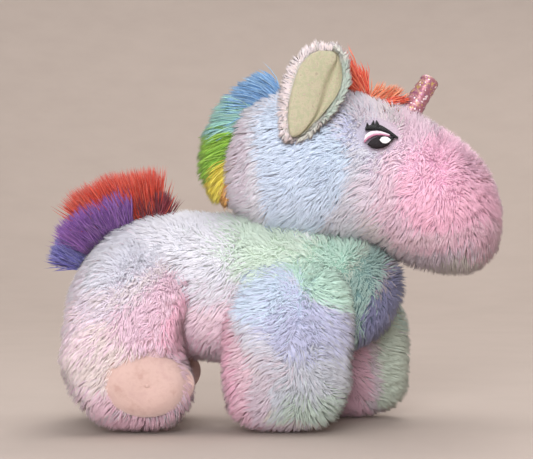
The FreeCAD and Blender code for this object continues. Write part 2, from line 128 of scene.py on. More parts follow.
TRUNK_DYES_SHADE_AND_LIGHT = (
    (0.581, 0.852, "d8ecd0"),
    (0.695, 0.784, "cdeacd"),
    (0.824, 0.750, "c2e6d0"),
    (0.830, 0.600, "a6d8c2"),
    (0.850, 0.440, "86c2b0"),
    # Blue-violet dye spot on the chest, painted darker than its dye for the shade there.
    (0.900, 0.420, "666c98"),
    (0.948, 0.560, "6a7098"),
    # Painted shade: grey mint where the chest turns away from the light.
    (0.998, 0.511, "9aa298"),
    (0.419, 0.886, "e4ece2"),
    (0.152, 0.716, "d2d0da"),
    (0.095, 0.443, "ecdce8"),
    (0.324, 0.716, "e6e4ee"),
    (0.410, 0.511, "dfe3e2"),
    (0.267, 0.443, "ddd0df"),
    (0.330, 0.230, "feb6cc"),
    # Painted light: the next two belly spots are made paler to make up for the shade under the belly.
    (0.430, 0.136, "ffe0ea"),
    (0.520, 0.114, "ffc4d6"),
    (0.067, 0.170, "eed8dc"),
)
RIGHT_FRONT_DYES = (
    (0.446, 0.745, "ccd6ee"),
    (0.608, 0.575, "bab9dc"),
    (0.365, 0.349, "d6d0d6"),
    (0.527, 0.151, "a9b8b2"),
    (0.054, 0.179, "e29ebc"),
    (0.000, 0.349, "eaacc8"),
    (0.770, 0.349, "c0c1ca"),
    (0.700, 0.120, "b3bdb4"),
    (0.743, 0.868, "b4dcc6"),
)
# Painted shade: the far front leg's pink and mint are set darker than its cloth for the shade it stands
# in.
LEFT_FRONT_DYES_AND_SHADE = (
    (0.678, 0.183, "cf9cab"),
    (0.880, 0.100, "a6b294"),
    (0.960, 0.183, "b0c4a4"),
    (0.954, 0.760, "a3b09f"),
    (0.500, 0.700, "d4d4e4"),
    (0.250, 0.200, "e4b8c8"),
)
HIND_DYES_AND_SHADE = (
    (0.136, 0.474, "eedadf"),
    (0.960, 0.590, "fbb0c6"),
    (0.820, 0.590, "f7b6cb"),
    (0.690, 0.560, "eccad4"),
    (0.728, 0.267, "f0d2c8"),
    (0.580, 0.319, "f2d6cb"),
    # Painted shade: darker at the underside of the foot.
    (0.654, 0.034, "a08290"),
    (0.877, 0.112, "b39aa6"),
    (0.568, 0.862, "d0ced8"),
    (0.654, 0.681, "ddd2e0"),
    (0.123, 0.172, "e2c8cc"),
)
INNER_PINK = "f2b3c6"
# Painted shade: a darker copy of the inner pink for the left legs.
SHADED_FAR_PINK = "d3a0b0"
# Ear pile: cream, then a darker grey-green for the cup past the fold, partly its own tint and partly
# painted shade.
EAR_DYES_AND_SHADE = ["ded8cc", "b4c0ac"]
DYE_REACH = 0.015
SHADE_COUNT = 30
PILE_LIFT = 0.9


def dyed(points, colour_spots, low, high):
    """Colour at each point: the spots' mean, weighted by a bell curve of the distance in X and Z."""
    spots = np.array([[along, up] for along, up, _ in colour_spots])
    colours = np.array([rgb(code) for _, _, code in colour_spots])
    places = np.array([low[0], low[2]]) + spots * np.array([high[0] - low[0], high[2] - low[2]])
    gap = points[:, None, [0, 2]] - places[None]
    weight = np.exp(-(gap**2).sum(2) / (2 * DYE_REACH**2)) + 1e-9
    return lifted((weight[:, :, None] * colours[None]).sum(1) / weight.sum(1)[:, None])


def lifted(colours):
    """Dyed fibre colours raised towards white, as light passes between pale fibres."""
    return colours**PILE_LIFT


def shade_table():
    """A few pile shades that between them cover every colour of the spot tables, painted shade and
    painted light included, by repeated averaging.
    """
    draw = np.random.default_rng(11)
    codes = [code for table in DYE_SHADE_AND_LIGHT_TABLES for _, _, code in table] + [INNER_PINK] * 3
    spots = lifted(np.array([rgb(code) for code in codes + [SHADED_FAR_PINK, *EAR_DYES_AND_SHADE * 4]]))
    pairs = draw.integers(0, len(spots), (2, 4000))
    share = draw.random((4000, 1))
    mixes = spots[pairs[0]] * share + spots[pairs[1]] * (1 - share)
    mixes *= draw.normal(1, 0.05, (4000, 1))
    centres = mixes[draw.choice(len(mixes), SHADE_COUNT, replace=False)]
    for _ in range(12):
        nearest = ((mixes[:, None] - centres[None]) ** 2).sum(2).argmin(1)
        counts = np.bincount(nearest, minlength=SHADE_COUNT)[:, None]
        sums = np.stack([np.bincount(nearest, mixes[:, i], SHADE_COUNT) for i in range(3)], 1)
        centres = np.where(counts > 0, sums / np.maximum(counts, 1), centres)
    return np.clip(centres, 0.01, 0.98)


DYE_SHADE_AND_LIGHT_TABLES = (HEAD_DYES_AND_SHADE, TRUNK_DYES_SHADE_AND_LIGHT, RIGHT_FRONT_DYES, LEFT_FRONT_DYES_AND_SHADE, HIND_DYES_AND_SHADE)
SHADES = shade_table()


# ---------------------------------------------------------------------------- materials


def add_node(material, kind, links=(), **settings):
    """Add a node, set its sockets and properties by name, and link sockets into it."""
    tree = material.node_tree
    made = tree.nodes.new(kind)
    for name, value in settings.items():
        label = name.replace("_", " ").title() if not hasattr(made, name) else name
        if hasattr(made, name):
            setattr(made, name, value)
        else:
            made.inputs[label].default_value = value
    for source, target in links:
        tree.links.new(source, made.inputs[target])
    return made


def principled(name, **settings):
    """A material with one Principled shader; sockets are given by name with underscores."""
    material = bpy.data.materials.new(name)
    material.use_nodes = True
    shader = material.node_tree.nodes["Principled BSDF"]
    for key, value in settings.items():
        label = key.replace("_", " ").title().replace("Ior", "IOR")
        shader.inputs[label].default_value = value
    return material, shader


def pile_material(name, colour):
    """Polyester faux fur: matte fibres with a soft bloom of sheen where they turn away."""
    return principled(
        name,
        Base_Color=(*colour, 1.0),
        Roughness=0.9,
        Specular_IOR_Level=0.15,
        Sheen_Weight=0.25,
        Sheen_Roughness=0.5,
    )[0]


def pile_shades():
    """The whole set of dyed pile materials, made once."""
    names = [f"polyester_fur_shade_{i:02d}" for i in range(SHADE_COUNT)]
    return [
        bpy.data.materials.get(name) or pile_material(name, SHADES[i].tolist())
        for i, name in enumerate(names)
    ]


def backing_material():
    """Knitted backing cloth under the pile: the dye soaks in, and the knit is 1.2 mm across."""
    name = "dyed_knit_backing"
    if name in bpy.data.materials:
        return bpy.data.materials[name]
    material, shader = principled(name, Roughness=0.95, Specular_IOR_Level=0.1)
    place = add_node(material, "ShaderNodeTexCoord")
    dye = add_node(material, "ShaderNodeVertexColor", layer_name="tie_dye")
    knit = add_node(
        material,
        "ShaderNodeTexNoise",
        [(place.outputs["Object"], "Vector")],
        scale=1 / (1.2 * MM),
        detail=3.0,
    )
    depth = add_node(
        material,
        "ShaderNodeMapRange",
        [(knit.outputs["Fac"], "Value")],
        to_min=0.62,
        to_max=1.0,
    )
    tint = add_node(material, "ShaderNodeMix", data_type="RGBA", blend_type="MULTIPLY")
    tint.inputs["Factor"].default_value = 1.0
    links = material.node_tree.links
    links.new(dye.outputs["Color"], tint.inputs["A"])
    links.new(depth.outputs["Result"], tint.inputs["B"])
    links.new(tint.outputs["Result"], shader.inputs["Base Color"])
    bump = add_node(
        material, "ShaderNodeBump", [(knit.outputs["Fac"], "Height")], strength=0.6, distance=0.001
    )
    links.new(bump.outputs["Normal"], shader.inputs["Normal"])
    return material


def noisy_cloth(name, codes, grain, roughness, sheen=0.0, bump=0.4, **extra):
    """Cloth or film whose colour wanders between hex codes over a grain given in millimetres."""
    if name in bpy.data.materials:
        return bpy.data.materials[name]
    material, shader = principled(name, Roughness=roughness, Sheen_Weight=sheen, **extra)
    place = add_node(material, "ShaderNodeTexCoord")
    grains = add_node(
        material,
        "ShaderNodeTexNoise",
        [(place.outputs["Object"], "Vector")],
        scale=1 / (grain * MM),
        detail=4.0,
        roughness=0.6,
    )
    ramp = add_node(material, "ShaderNodeValToRGB", [(grains.outputs["Fac"], "Fac")])
    stops = ramp.color_ramp
    for i, code in enumerate(codes):
        at = 0.3 + 0.4 * i / max(len(codes) - 1, 1)
        stop = stops.elements[i] if i < 2 else stops.elements.new(at)
        stop.position = at
        stop.color = linear(code)
    relief = add_node(
        material, "ShaderNodeBump", [(grains.outputs["Fac"], "Height")], strength=bump, distance=0.0006
    )
    links = material.node_tree.links
    links.new(ramp.outputs["Color"], shader.inputs["Base Color"])
    links.new(relief.outputs["Normal"], shader.inputs["Normal"])
    return material


def satin_thread(name, code, angle=0.0):
    """Rayon embroidery thread: glossy lines 0.45 mm apart laid side by side."""
    material, shader = principled(name, Roughness=0.5, Specular_IOR_Level=0.25)
    place = add_node(material, "ShaderNodeTexCoord")
    turned = add_node(material, "ShaderNodeMapping", [(place.outputs["Object"], "Vector")])
    turned.inputs["Rotation"].default_value = (0.0, angle, 0.0)
    rows = add_node(
        material,
        "ShaderNodeTexWave",
        [(turned.outputs["Vector"], "Vector")],
        scale=0.314 / (0.45 * MM) / 2,
        distortion=0.8,
    )
    base = rgb(code)
    ramp = add_node(material, "ShaderNodeValToRGB", [(rows.outputs["Fac"], "Fac")])
    ramp.color_ramp.elements[0].color = (*(base * 0.7).tolist(), 1)
    ramp.color_ramp.elements[1].color = (*base.tolist(), 1)
    relief = add_node(
        material, "ShaderNodeBump", [(rows.outputs["Fac"], "Height")], strength=0.5, distance=0.0003
    )
    links = material.node_tree.links
    links.new(ramp.outputs["Color"], shader.inputs["Base Color"])
    links.new(relief.outputs["Normal"], shader.inputs["Normal"])
    return material


def glitter_film():
    """Iridescent film over foam: pink, with pin-head flakes painted purple, tan, gold and white, partly
    the film's own flakes and partly painted glints for its shimmer.
    """
    material, shader = principled(
        "iridescent_glitter_film", Roughness=0.42, Metallic=0.3, Coat_Weight=0.2, Coat_Roughness=0.25
    )
    place = add_node(material, "ShaderNodeTexCoord")
    flakes_and_glints = add_node(
        material,
        "ShaderNodeTexVoronoi",
        [(place.outputs["Object"], "Vector")],
        scale=1 / (1.1 * MM),
    )
    split = add_node(material, "ShaderNodeSeparateColor", [(flakes_and_glints.outputs["Color"], "Color")])
    ramp = add_node(material, "ShaderNodeValToRGB", [(split.outputs["Red"], "Fac")])
    stops = ramp.color_ramp
    stops.interpolation = "CONSTANT"
    stops.elements[0].color = linear("a46a74")
    stops.elements[1].position = 0.45
    stops.elements[1].color = linear("b27d86")
    # Purple, tan, gold and white flakes: partly the film's own colours, partly painted glints.
    for at, code in ((0.66, "96607a"), (0.8, "c09884"), (0.9, "c0a462"), (0.96, "ecdcdc")):
        stop = stops.elements.new(at)
        stop.color = linear(code)
    relief = add_node(
        material,
        "ShaderNodeBump",
        [(split.outputs["Green"], "Height")],
        strength=0.7,
        distance=0.0006,
    )
    links = material.node_tree.links
    links.new(ramp.outputs["Color"], shader.inputs["Base Color"])
    links.new(relief.outputs["Normal"], shader.inputs["Normal"])
    return material


# ---------------------------------------------------------------------------- meshes


def make_mesh(name, points, faces, normals=None, shades=None, materials=()):
    """A mesh object from arrays; faces is a list of index arrays of one width each."""
    mesh = bpy.data.meshes.new(name)
    widths = np.concatenate([np.full(len(f), f.shape[1]) for f in faces])
    corners = np.concatenate([f.ravel() for f in faces]).astype(np.int32)
    mesh.vertices.add(len(points))
    mesh.vertices.foreach_set("co", points.astype(np.float32).ravel())
    mesh.loops.add(len(corners))
    mesh.loops.foreach_set("vertex_index", corners)
    mesh.polygons.add(len(widths))
    starts = np.concatenate([[0], np.cumsum(widths)[:-1]]).astype(np.int32)
    mesh.polygons.foreach_set("loop_start", starts)
    mesh.polygons.foreach_set("use_smooth", np.ones(len(widths), bool))
    for material in materials:
        mesh.materials.append(material)
    if shades is not None:
        mesh.polygons.foreach_set("material_index", shades.astype(np.int32))
    mesh.update(calc_edges=True)
    if normals is not None:
        mesh.normals_split_custom_set_from_vertices(normals.astype(np.float32))
    made = bpy.data.objects.new(name, mesh)
    bpy.context.scene.collection.objects.link(made)
    return made


def closed_grid(rings, first, last):
    """Points and faces of rings joined in order, shut by a fan to a pole at each end."""
    count, around = rings.shape[:2]
    points = np.concatenate([rings.reshape(-1, 3), first[None], last[None]])
    here = np.arange(around)
    there = np.roll(here, -1)
    base = (np.arange(count - 1) * around)[:, None]
    quads = np.stack([base + here, base + there, base + around + there, base + around + here], 2)
    start = np.stack([np.full(around, count * around), there, here], 1)
    top = (count - 1) * around
    end = np.stack([np.full(around, count * around + 1), top + here, top + there], 1)
    faces = [quads.reshape(-1, 4), np.concatenate([start, end])]
    return points, outward(points, faces)


def outward(points, faces):
    """The faces turned over if the volume they enclose, summed over corner fans, is negative."""
    volume = 0.0
    for f in faces:
        for i in range(1, f.shape[1] - 1):
            a, b, c = points[f[:, 0]], points[f[:, i]], points[f[:, i + 1]]
            volume += (a * np.cross(b, c)).sum()
    return [f[:, ::-1] for f in faces] if volume < 0 else faces


def smooth_table(shares, values, at):
    """Values between stations: straight lines, then averaged over a short window."""
    dense = np.linspace(0, 1, 401)
    line = np.interp(dense, shares, values)
    window = np.hanning(41)
    window /= window.sum()
    padded = np.pad(line, 20, mode="edge")
    return np.interp(at, dense, np.convolve(padded, window, mode="valid"))


class Form:
    """A soft closed form along one axis.

    A ring at share s is a superellipse. Its half sizes are the stations' values times a closing
    curve, (1 - |2s - 1| ** shut) ** 0.5, which brings both ends round to a point.
    """

    POWER = 2.25

    def __init__(self, axis, start, end, stations, shut):
        self.axis, self.start, self.end, self.shut = axis, start, end, shut
        table = np.array(stations, float)
        self.shares, self.columns = table[:, 0], table[:, 1:].T

    def ring_values(self, share):
        """Middle and half size across, then middle and half size sideways, at each share."""
        close = np.sqrt(np.clip(1 - np.abs(2 * share - 1) ** self.shut, 0, 1))
        mid, half, side, side_half = (
            smooth_table(self.shares, column, share) for column in self.columns
        )
        return mid, half * close, side, side_half * close

    def surface(self, along, around):
        """Grid of points: rings spaced evenly in angle so that they crowd at the ends."""
        turn = np.linspace(0, math.pi, along + 2)[1:-1]
        share = (1 - np.cos(turn)) / 2
        mid, half, side, side_half = self.ring_values(share)
        angle = np.arange(around) * 2 * math.pi / around
        c, s = np.cos(angle), np.sin(angle)
        power = 2 / self.POWER
        across = np.sign(s) * np.abs(s) ** power
        beside = np.sign(c) * np.abs(c) ** power
        main = np.repeat((self.start + share * (self.end - self.start))[:, None], around, 1)
        first = mid[:, None] + half[:, None] * across
        second = side[:, None] + side_half[:, None] * beside
        ends = []
        for share_end, value in ((0.0, self.start), (1.0, self.end)):
            m, _, b, _ = self.ring_values(np.array([share_end]))
            ends.append(self.point(np.array([value]), m, b)[0])
        return self.point(main, first, second), ends[0], ends[1]

    def point(self, main, across, beside):
        """X, Y, Z from the form's own directions."""
        if self.axis == "x":
            return np.stack([main, beside, across], -1)
        return np.stack([across, beside, main], -1)

    def depth(self, points):
        """How far inside each point is, in metres, about: positive inside."""
        main = points[:, 0] if self.axis == "x" else points[:, 2]
        across = points[:, 2] if self.axis == "x" else points[:, 0]
        share = (main - self.start) / (self.end - self.start)
        mid, half, side, side_half = self.ring_values(np.clip(share, 0.001, 0.999))
        reach = np.maximum(np.minimum(half, side_half), 1e-4)
        level = (
            np.abs((across - mid) / np.maximum(half, 1e-4)) ** self.POWER
            + np.abs((points[:, 1] - side) / np.maximum(side_half, 1e-4)) ** self.POWER
        ) ** (1 / self.POWER)
        inside = (1 - level) * reach
        return np.where((share > 0) & (share < 1), inside, -0.05)


def box_of(*nodes):
    """Lowest and highest corner of several CAD nodes together."""
    boxes = [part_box(n) for n in nodes]
    low = np.min([np.array(b[0]) for b in boxes], 0)
    high = np.max([np.array(b[1]) for b in boxes], 0)
    return low, high


HEAD_NODES = ("head_gusset", "head_panel_left", "head_panel_right")
TRUNK_NODES = ("side_panel_left", "side_panel_right", "belly_gusset")
HEAD_BOX = box_of(*HEAD_NODES)
TRUNK_BOX = box_of(*TRUNK_NODES)


def leg_nodes(leg):
    """The cloth nodes of a leg."""
    ends = (
        ("inner_panel", "front_panel", "rear_panel")
        if leg.startswith("front")
        else ("inner_panel", "outer_panel", "foot_pad")
    )
    kind, side = leg.split("_")[0], leg.split("_")[-1]
    return [f"{kind}_leg_{side}_{end}" for end in ends]


# Stations: share along, middle, half size, side middle, half width; each as a share of the box.
HEAD_STATIONS = (
    (0.00, 0.574, 0.482, 0.5, 0.440),
    (0.10, 0.602, 0.472, 0.5, 0.455),
    (0.20, 0.597, 0.428, 0.5, 0.455),
    (0.40, 0.602, 0.393, 0.5, 0.440),
    (0.50, 0.574, 0.372, 0.5, 0.435),
    (0.60, 0.523, 0.380, 0.5, 0.435),
    (0.70, 0.444, 0.385, 0.5, 0.440),
    (0.80, 0.385, 0.395, 0.5, 0.450),
    (0.90, 0.312, 0.425, 0.5, 0.460),
    (1.00, 0.292, 0.430, 0.5, 0.470),
)
TRUNK_STATIONS = (
    (0.00, 0.227, 0.560, 0.5, 0.430),
    (0.05, 0.358, 0.550, 0.5, 0.430),
    (0.10, 0.437, 0.525, 0.5, 0.440),
    (0.20, 0.523, 0.478, 0.5, 0.455),
    (0.30, 0.557, 0.447, 0.5, 0.460),
    (0.40, 0.528, 0.447, 0.5, 0.460),
    (0.60, 0.500, 0.447, 0.5, 0.450),
    (0.80, 0.477, 0.466, 0.5, 0.440),
    (0.95, 0.489, 0.490, 0.5, 0.430),
    (1.00, 0.545, 0.500, 0.5, 0.420),
)
# A leg's side middle and half width are shares of the box's width from the inner face out.
FRONT_STATIONS = (
    (0.00, 0.49, 0.46, 0.46, 0.42),
    (0.15, 0.49, 0.455, 0.48, 0.44),
    (0.35, 0.50, 0.45, 0.50, 0.45),
    (0.60, 0.51, 0.455, 0.49, 0.44),
    (0.75, 0.53, 0.45, 0.44, 0.40),
    (0.90, 0.52, 0.44, 0.30, 0.36),
    (1.00, 0.51, 0.40, 0.12, 0.30),
)
FAR_FRONT_STATIONS = (
    (0.00, 0.68, 0.34, 0.46, 0.42),
    (0.15, 0.67, 0.36, 0.48, 0.44),
    (0.35, 0.65, 0.38, 0.50, 0.45),
    (0.60, 0.60, 0.42, 0.49, 0.44),
    (0.75, 0.55, 0.40, 0.44, 0.40),
    (0.90, 0.48, 0.36, 0.30, 0.36),
    (1.00, 0.42, 0.32, 0.12, 0.30),
)
HIND_STATIONS = (
    (0.00, 0.57, 0.36, 0.46, 0.42),
    (0.10, 0.56, 0.40, 0.48, 0.44),
    (0.25, 0.52, 0.43, 0.50, 0.45),
    (0.40, 0.45, 0.42, 0.50, 0.45),
    (0.55, 0.47, 0.40, 0.49, 0.44),
    (0.75, 0.55, 0.39, 0.42, 0.40),
    (0.90, 0.56, 0.36, 0.28, 0.36),
    (1.00, 0.56, 0.32, 0.10, 0.30),
)
# Each leg: stations, then its colour spots: dyes, and on some legs painted shade.
LEGS = {
    "front_leg_right": (FRONT_STATIONS, RIGHT_FRONT_DYES),
    "front_leg_left": (FAR_FRONT_STATIONS, LEFT_FRONT_DYES_AND_SHADE),
    "hind_leg_right": (HIND_STATIONS, HIND_DYES_AND_SHADE),
    "hind_leg_left": (HIND_STATIONS, HIND_DYES_AND_SHADE),
}


def in_box(stations, box, across, beside):
    """The stations' shares turned to metres in a box; across and beside are axis numbers."""
    low, high = box
    table = np.array(stations, float)
    size = high - low
    table[:, 1] = low[across] + table[:, 1] * size[across]
    table[:, 2] *= size[across]
    table[:, 3] = low[beside] + table[:, 3] * size[beside]
    table[:, 4] *= size[beside]
    return table


def leg_box(leg):
    """A leg's box."""
    return box_of(*leg_nodes(leg))


def leg_form(leg, inset):
    """The skin form of a leg, upright, standing just over the floor."""
    low, high = leg_box(leg)
    stations = np.array(LEGS[leg][0], float)
    if leg.endswith("right"):
        stations[:, 3] = 1 - stations[:, 3]
    table = in_box(stations, (low, high), 0, 1)
    return Form("z", low[2] + inset, high[2] - inset, table, 5.0)


def all_forms(settings):
    """The skin forms of head, trunk and legs, drawn in from the CAD boxes for the pile."""
    inset = settings.skin_inset
    low, high = HEAD_BOX
    forms = {
        "head": Form(
            "x", low[0] + inset, high[0] - 0.1 * inset, in_box(HEAD_STATIONS, HEAD_BOX, 2, 1), 3.0
        )
    }
    low, high = TRUNK_BOX
    forms["torso"] = Form(
        "x", low[0] + inset, high[0] - inset, in_box(TRUNK_STATIONS, TRUNK_BOX, 2, 1), 2.6
    )
    for leg in LEGS:
        forms[leg] = leg_form(leg, inset)
    return forms


FORMS = {}
SKINS = {}


# ---------------------------------------------------------------------------- padding


def evaluated(made):
    """Replace an object's mesh by its evaluated one and drop the modifiers."""
    graph = bpy.context.evaluated_depsgraph_get()
    mesh = bpy.data.meshes.new_from_object(made.evaluated_get(graph))
    made.modifiers.clear()
    old = made.data
    made.data = mesh
    bpy.data.meshes.remove(old)


def coordinates(mesh):
    """Vertex places of a mesh as an array."""
    flat = np.empty(len(mesh.vertices) * 3, np.float32)
    mesh.vertices.foreach_get("co", flat)
    return flat.reshape(-1, 3).astype(float)


def vertex_normals(mesh):
    """Vertex normals of a mesh as an array."""
    flat = np.empty(len(mesh.vertices) * 3, np.float32)
    mesh.vertex_normals.foreach_get("vector", flat)
    return flat.reshape(-1, 3).astype(float)


def stuff(covers, padding):
    """Swell closed covers: voxel remesh, cloth under pressure, then a cap on every move."""
    scene = bpy.context.scene
    for cover, voxel in covers:
        remesh = cover.modifiers.new("remesh", "REMESH")
        remesh.mode = "VOXEL"
        remesh.voxel_size = voxel
        remesh.use_smooth_shade = True
        evaluated(cover)
    rest = {cover.name: coordinates(cover.data) for cover, _ in covers}
    for cover, _ in covers:
        cloth = cover.modifiers.new("stuffing", "CLOTH")
        cloth.settings.use_pressure = True
        cloth.settings.uniform_pressure_force = padding.pressure
        cloth.settings.effector_weights.gravity = 0
        cloth.collision_settings.use_collision = False
        cloth.point_cache.frame_end = padding.frames
    for number in range(1, padding.frames + 1):
        scene.frame_set(number)
    graph = bpy.context.evaluated_depsgraph_get()
    moved = {}
    for cover, _ in covers:
        moved[cover.name] = coordinates(cover.evaluated_get(graph).data)
        cover.modifiers.clear()
    scene.frame_set(1)
    for cover, _ in covers:
        shift = moved[cover.name] - rest[cover.name]
        size = np.linalg.norm(shift, axis=1, keepdims=True)
        shift *= np.minimum(1, padding.cap / np.maximum(size, 1e-9))
        place = rest[cover.name] + shift
        place[:, 2] = np.maximum(place[:, 2], padding.floor_gap)
        cover.data.vertices.foreach_set("co", place.astype(np.float32).ravel())
        cover.data.update()
        finer = cover.modifiers.new("finer", "SUBSURF")
        finer.levels = finer.render_levels = 1
        evaluated(cover)


def tie_dye(made, colours, depth=0.86):
    """Write the dyed colour of each vertex, darkened to the given share of the pile's colour, as an
    attribute.
    """
    mesh = made.data
    layer = mesh.color_attributes.new("tie_dye", "FLOAT_COLOR", "POINT")
    flat = np.ones((len(mesh.vertices), 4), np.float32)
    flat[:, :3] = colours * depth
    layer.data.foreach_set("color", flat.ravel())


# ---------------------------------------------------------------------------- pile


def scatter(mesh, count, draw):
    """Random places on a mesh, even by area, with the smooth normal at each."""
    mesh.calc_loop_triangles()
    corners = np.empty(len(mesh.loop_triangles) * 3, np.int32)
    mesh.loop_triangles.foreach_get("vertices", corners)
    corners = corners.reshape(-1, 3)
    places, normals = coordinates(mesh), vertex_normals(mesh)
    a, b, c = (places[corners[:, i]] for i in range(3))
    area = np.linalg.norm(np.cross(b - a, c - a), axis=1)
    pick = draw.choice(len(area), count, p=area / area.sum())
    u = draw.random((count, 2))
    u = np.where(u.sum(1, keepdims=True) > 1, 1 - u, u)
    share = np.stack([1 - u.sum(1), u[:, 0], u[:, 1]], 1)[:, :, None]
    spot = (places[corners[pick]] * share).sum(1)
    normal = (normals[corners[pick]] * share).sum(1)
    return spot, unit(normal)


def unit(vectors):
    """Vectors made one long."""
    return vectors / np.maximum(np.linalg.norm(vectors, axis=-1, keepdims=True), 1e-9)


def swirl(points, wave, seed):
    """A smooth random vector field: three sine waves per axis, each along its own direction."""
    draw = np.random.default_rng(seed)
    total = np.zeros_like(points)
    for _ in range(3):
        way = unit(draw.normal(size=(3, 3))) * (2 * math.pi / wave) * draw.uniform(0.7, 1.4, (3, 1))
        phase = draw.uniform(0, 2 * math.pi, 3)
        total += np.sin(points @ way.T + phase)
    return total / 3


def gather(points, cell, seed):
    """The clump number of each point: cells of a cubic grid bent by a smooth field."""
    bent = points + swirl(points, cell * 5, seed) * cell * 0.9
    keys = np.floor(bent / cell).astype(np.int64)
    keys -= keys.min(0)
    span = keys.max(0) + 1
    flat = (keys[:, 0] * span[1] + keys[:, 1]) * span[2] + keys[:, 2]
    return np.unique(flat, return_inverse=True)[1].ravel()


def clump_mean(values, group):
    """The mean of the values over each point's clump."""
    counts = np.bincount(group)
    sums = [np.bincount(group, values[:, i]) for i in range(values.shape[1])]
    return (np.stack(sums, 1) / counts[:, None])[group]


def strands(lines, radii, side):
    """Points, faces and ring directions of three-sided closed fibres that taper to a tip.

    lines holds each fibre's centre points in order, radii the half thickness at all but the tip.
    """
    count, steps = lines.shape[:2]
    axis = unit(lines[:, -1] - lines[:, 0])
    u = unit(np.cross(axis, side))
    v = np.cross(axis, u)
    angle = np.arange(3) * 2 * math.pi / 3
    ring = np.cos(angle)[:, None] * u[:, None] + np.sin(angle)[:, None] * v[:, None]
    rings = lines[:, :-1, None] + radii[:, :, None, None] * ring[:, None]
    per = 3 * (steps - 1) + 1
    points = np.concatenate([rings.reshape(count, -1, 3), lines[:, -1:]], 1)
    outs = np.concatenate([np.tile(ring, (1, steps - 1, 1)), axis[:, None]], 1)
    pattern = [(0, 2, 1)]
    for step in range(steps - 2):
        for i in range(3):
            j = (i + 1) % 3
            low, up = 3 * step, 3 * step + 3
            pattern += [(low + i, low + j, up + j), (low + i, up + j, up + i)]
    last = 3 * (steps - 2)
    pattern += [(last + i, last + (i + 1) % 3, per - 1) for i in range(3)]
    pattern = np.array(pattern)
    faces = (np.arange(count) * per)[:, None, None] + pattern[None]
    return points.reshape(-1, 3), faces.reshape(-1, 3), outs.reshape(-1, 3), per, len(pattern)


def nearest_shade(colours, shades):
    """The number of the shade closest to each colour."""
    picked = np.empty(len(colours), np.int32)
    for start in range(0, len(colours), 20000):
        part = colours[start : start + 20000]
        picked[start : start + 20000] = ((part[:, None] - shades[None]) ** 2).sum(2).argmin(1)
    return picked


FLOOR_CLEAR = 0.0004


def grow_pile(name, roots, normals, flow, colours, lengths, pile, draw, materials, shades):
    """Fibres from the roots: risen by the normal, combed along the flow, bent, clumped, tapered.

    A fibre's direction is normal x rise + flow x lean + a smooth swirl + a little chance, its
    far half leans on with the flow, and its tip is drawn to its clump's mean tip.
    """
    count = len(roots)
    flow = flow - (flow * normals).sum(1, keepdims=True) * normals
    wild = swirl(roots, pile.swirl_wave, 3) * pile.swirl + draw.normal(0, pile.chance, roots.shape)
    wild -= (wild * normals).sum(1, keepdims=True) * normals * 0.5
    start = unit(normals * pile.rise + flow * pile.lean + wild)
    far = unit(start + flow * pile.curl + np.array([0, 0, -pile.droop]))
    length = lengths[:, None]
    middle = roots + start * length * 0.5
    tip = middle + far * length * 0.5
    for cell, pull in ((pile.clump, pile.clump_pull), (pile.clump * 2.3, pile.clump_pull * 0.5)):
        group = gather(roots, cell, 5)
        gap = clump_mean(tip, group) - tip
        tip = tip + gap * pull
        middle = middle + gap * pull * 0.35
    sink = roots - normals * 0.0006
    lines = np.stack([sink, middle, tip], 1)
    lines[:, :, 2] = np.maximum(lines[:, :, 2], FLOOR_CLEAR)
    radius = pile.thickness / 2 * draw.uniform(0.75, 1.25, count)
    radii = np.stack([radius, radius * 0.82], 1)
    points, faces, outs, per, sides = strands(lines, radii, normals + wild * 0.2)
    points[:, 2] = np.maximum(points[:, 2], FLOOR_CLEAR * 0.5)
    soft = unit(np.repeat(normals, per, 0) * pile.softness + outs * (1 - pile.softness))
    tone = draw.normal(1, 0.035, (count, 1))
    picked = nearest_shade(colours * tone, shades)
    return make_mesh(name, points, [faces], soft, np.repeat(picked, sides), materials)


def exposed(points, own, forms, margin):
    """True where a root isn't buried deeper than the margin in another form."""
    keep = np.ones(len(points), bool)
    for name, form in forms.items():
        if name != own:
            keep &= form.depth(points) < margin
    return keep


def eye_spot(side):
    """Middle of an eye in the frame, from its CAD nodes, and its half sizes in X and Z."""
    tag = "right" if side < 0 else "left"
    low, high = box_of(f"eye_pupil_{tag}", f"eye_lid_{tag}", f"eye_lashes_{tag}")
    return (low + high) / 2, (high - low) / 2


def thin_at_eyes(points):
    """Share of the pile's length round the eyes: bare inside the oval, full 6 mm outside."""
    share = np.ones(len(points))
    for _, side in SIDES:
        middle, half = eye_spot(side)
        reach = np.sqrt(
            ((points[:, 0] - middle[0]) / (half[0] + 0.0005)) ** 2
            + ((points[:, 2] - middle[2]) / (half[2] + 0.0005)) ** 2
        )
        here = points[:, 1] * side > 0
        share = np.where(here, np.minimum(share, np.clip((reach - 0.95) / 0.55, 0, 1)), share)
    return share


def thin_at_pads(points, leg):
    """Share of the pile's length over the smooth foot pad: bare inside its oval."""
    if not leg.startswith("hind"):
        return np.ones(len(points))
    side = leg.split("_")[-1]
    low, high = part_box(f"hind_leg_{side}_foot_pad")
    middle, half = (np.array(low) + np.array(high)) / 2, (np.array(high) - np.array(low)) / 2
    reach = np.sqrt(
        ((points[:, 0] - middle[0]) / half[0]) ** 2 + ((points[:, 2] - middle[2]) / half[2]) ** 2
    )
    outer = (points[:, 1] - middle[1] + half[1]) * (1 if side == "left" else -1) > -half[1]
    overhang = np.clip((middle[0] - points[:, 0]) / half[0] + 0.2, 0, 1) * 0.2
    return np.where(outer, np.clip((reach - 0.96 + overhang) / 0.3, 0, 1), 1.0)


def seam_x(leg):
    """Where the front leg's seam runs, from the CAD panels that meet at it."""
    side = leg.split("_")[-1]
    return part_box(f"front_leg_{side}_front_panel")[0][0] + 0.004


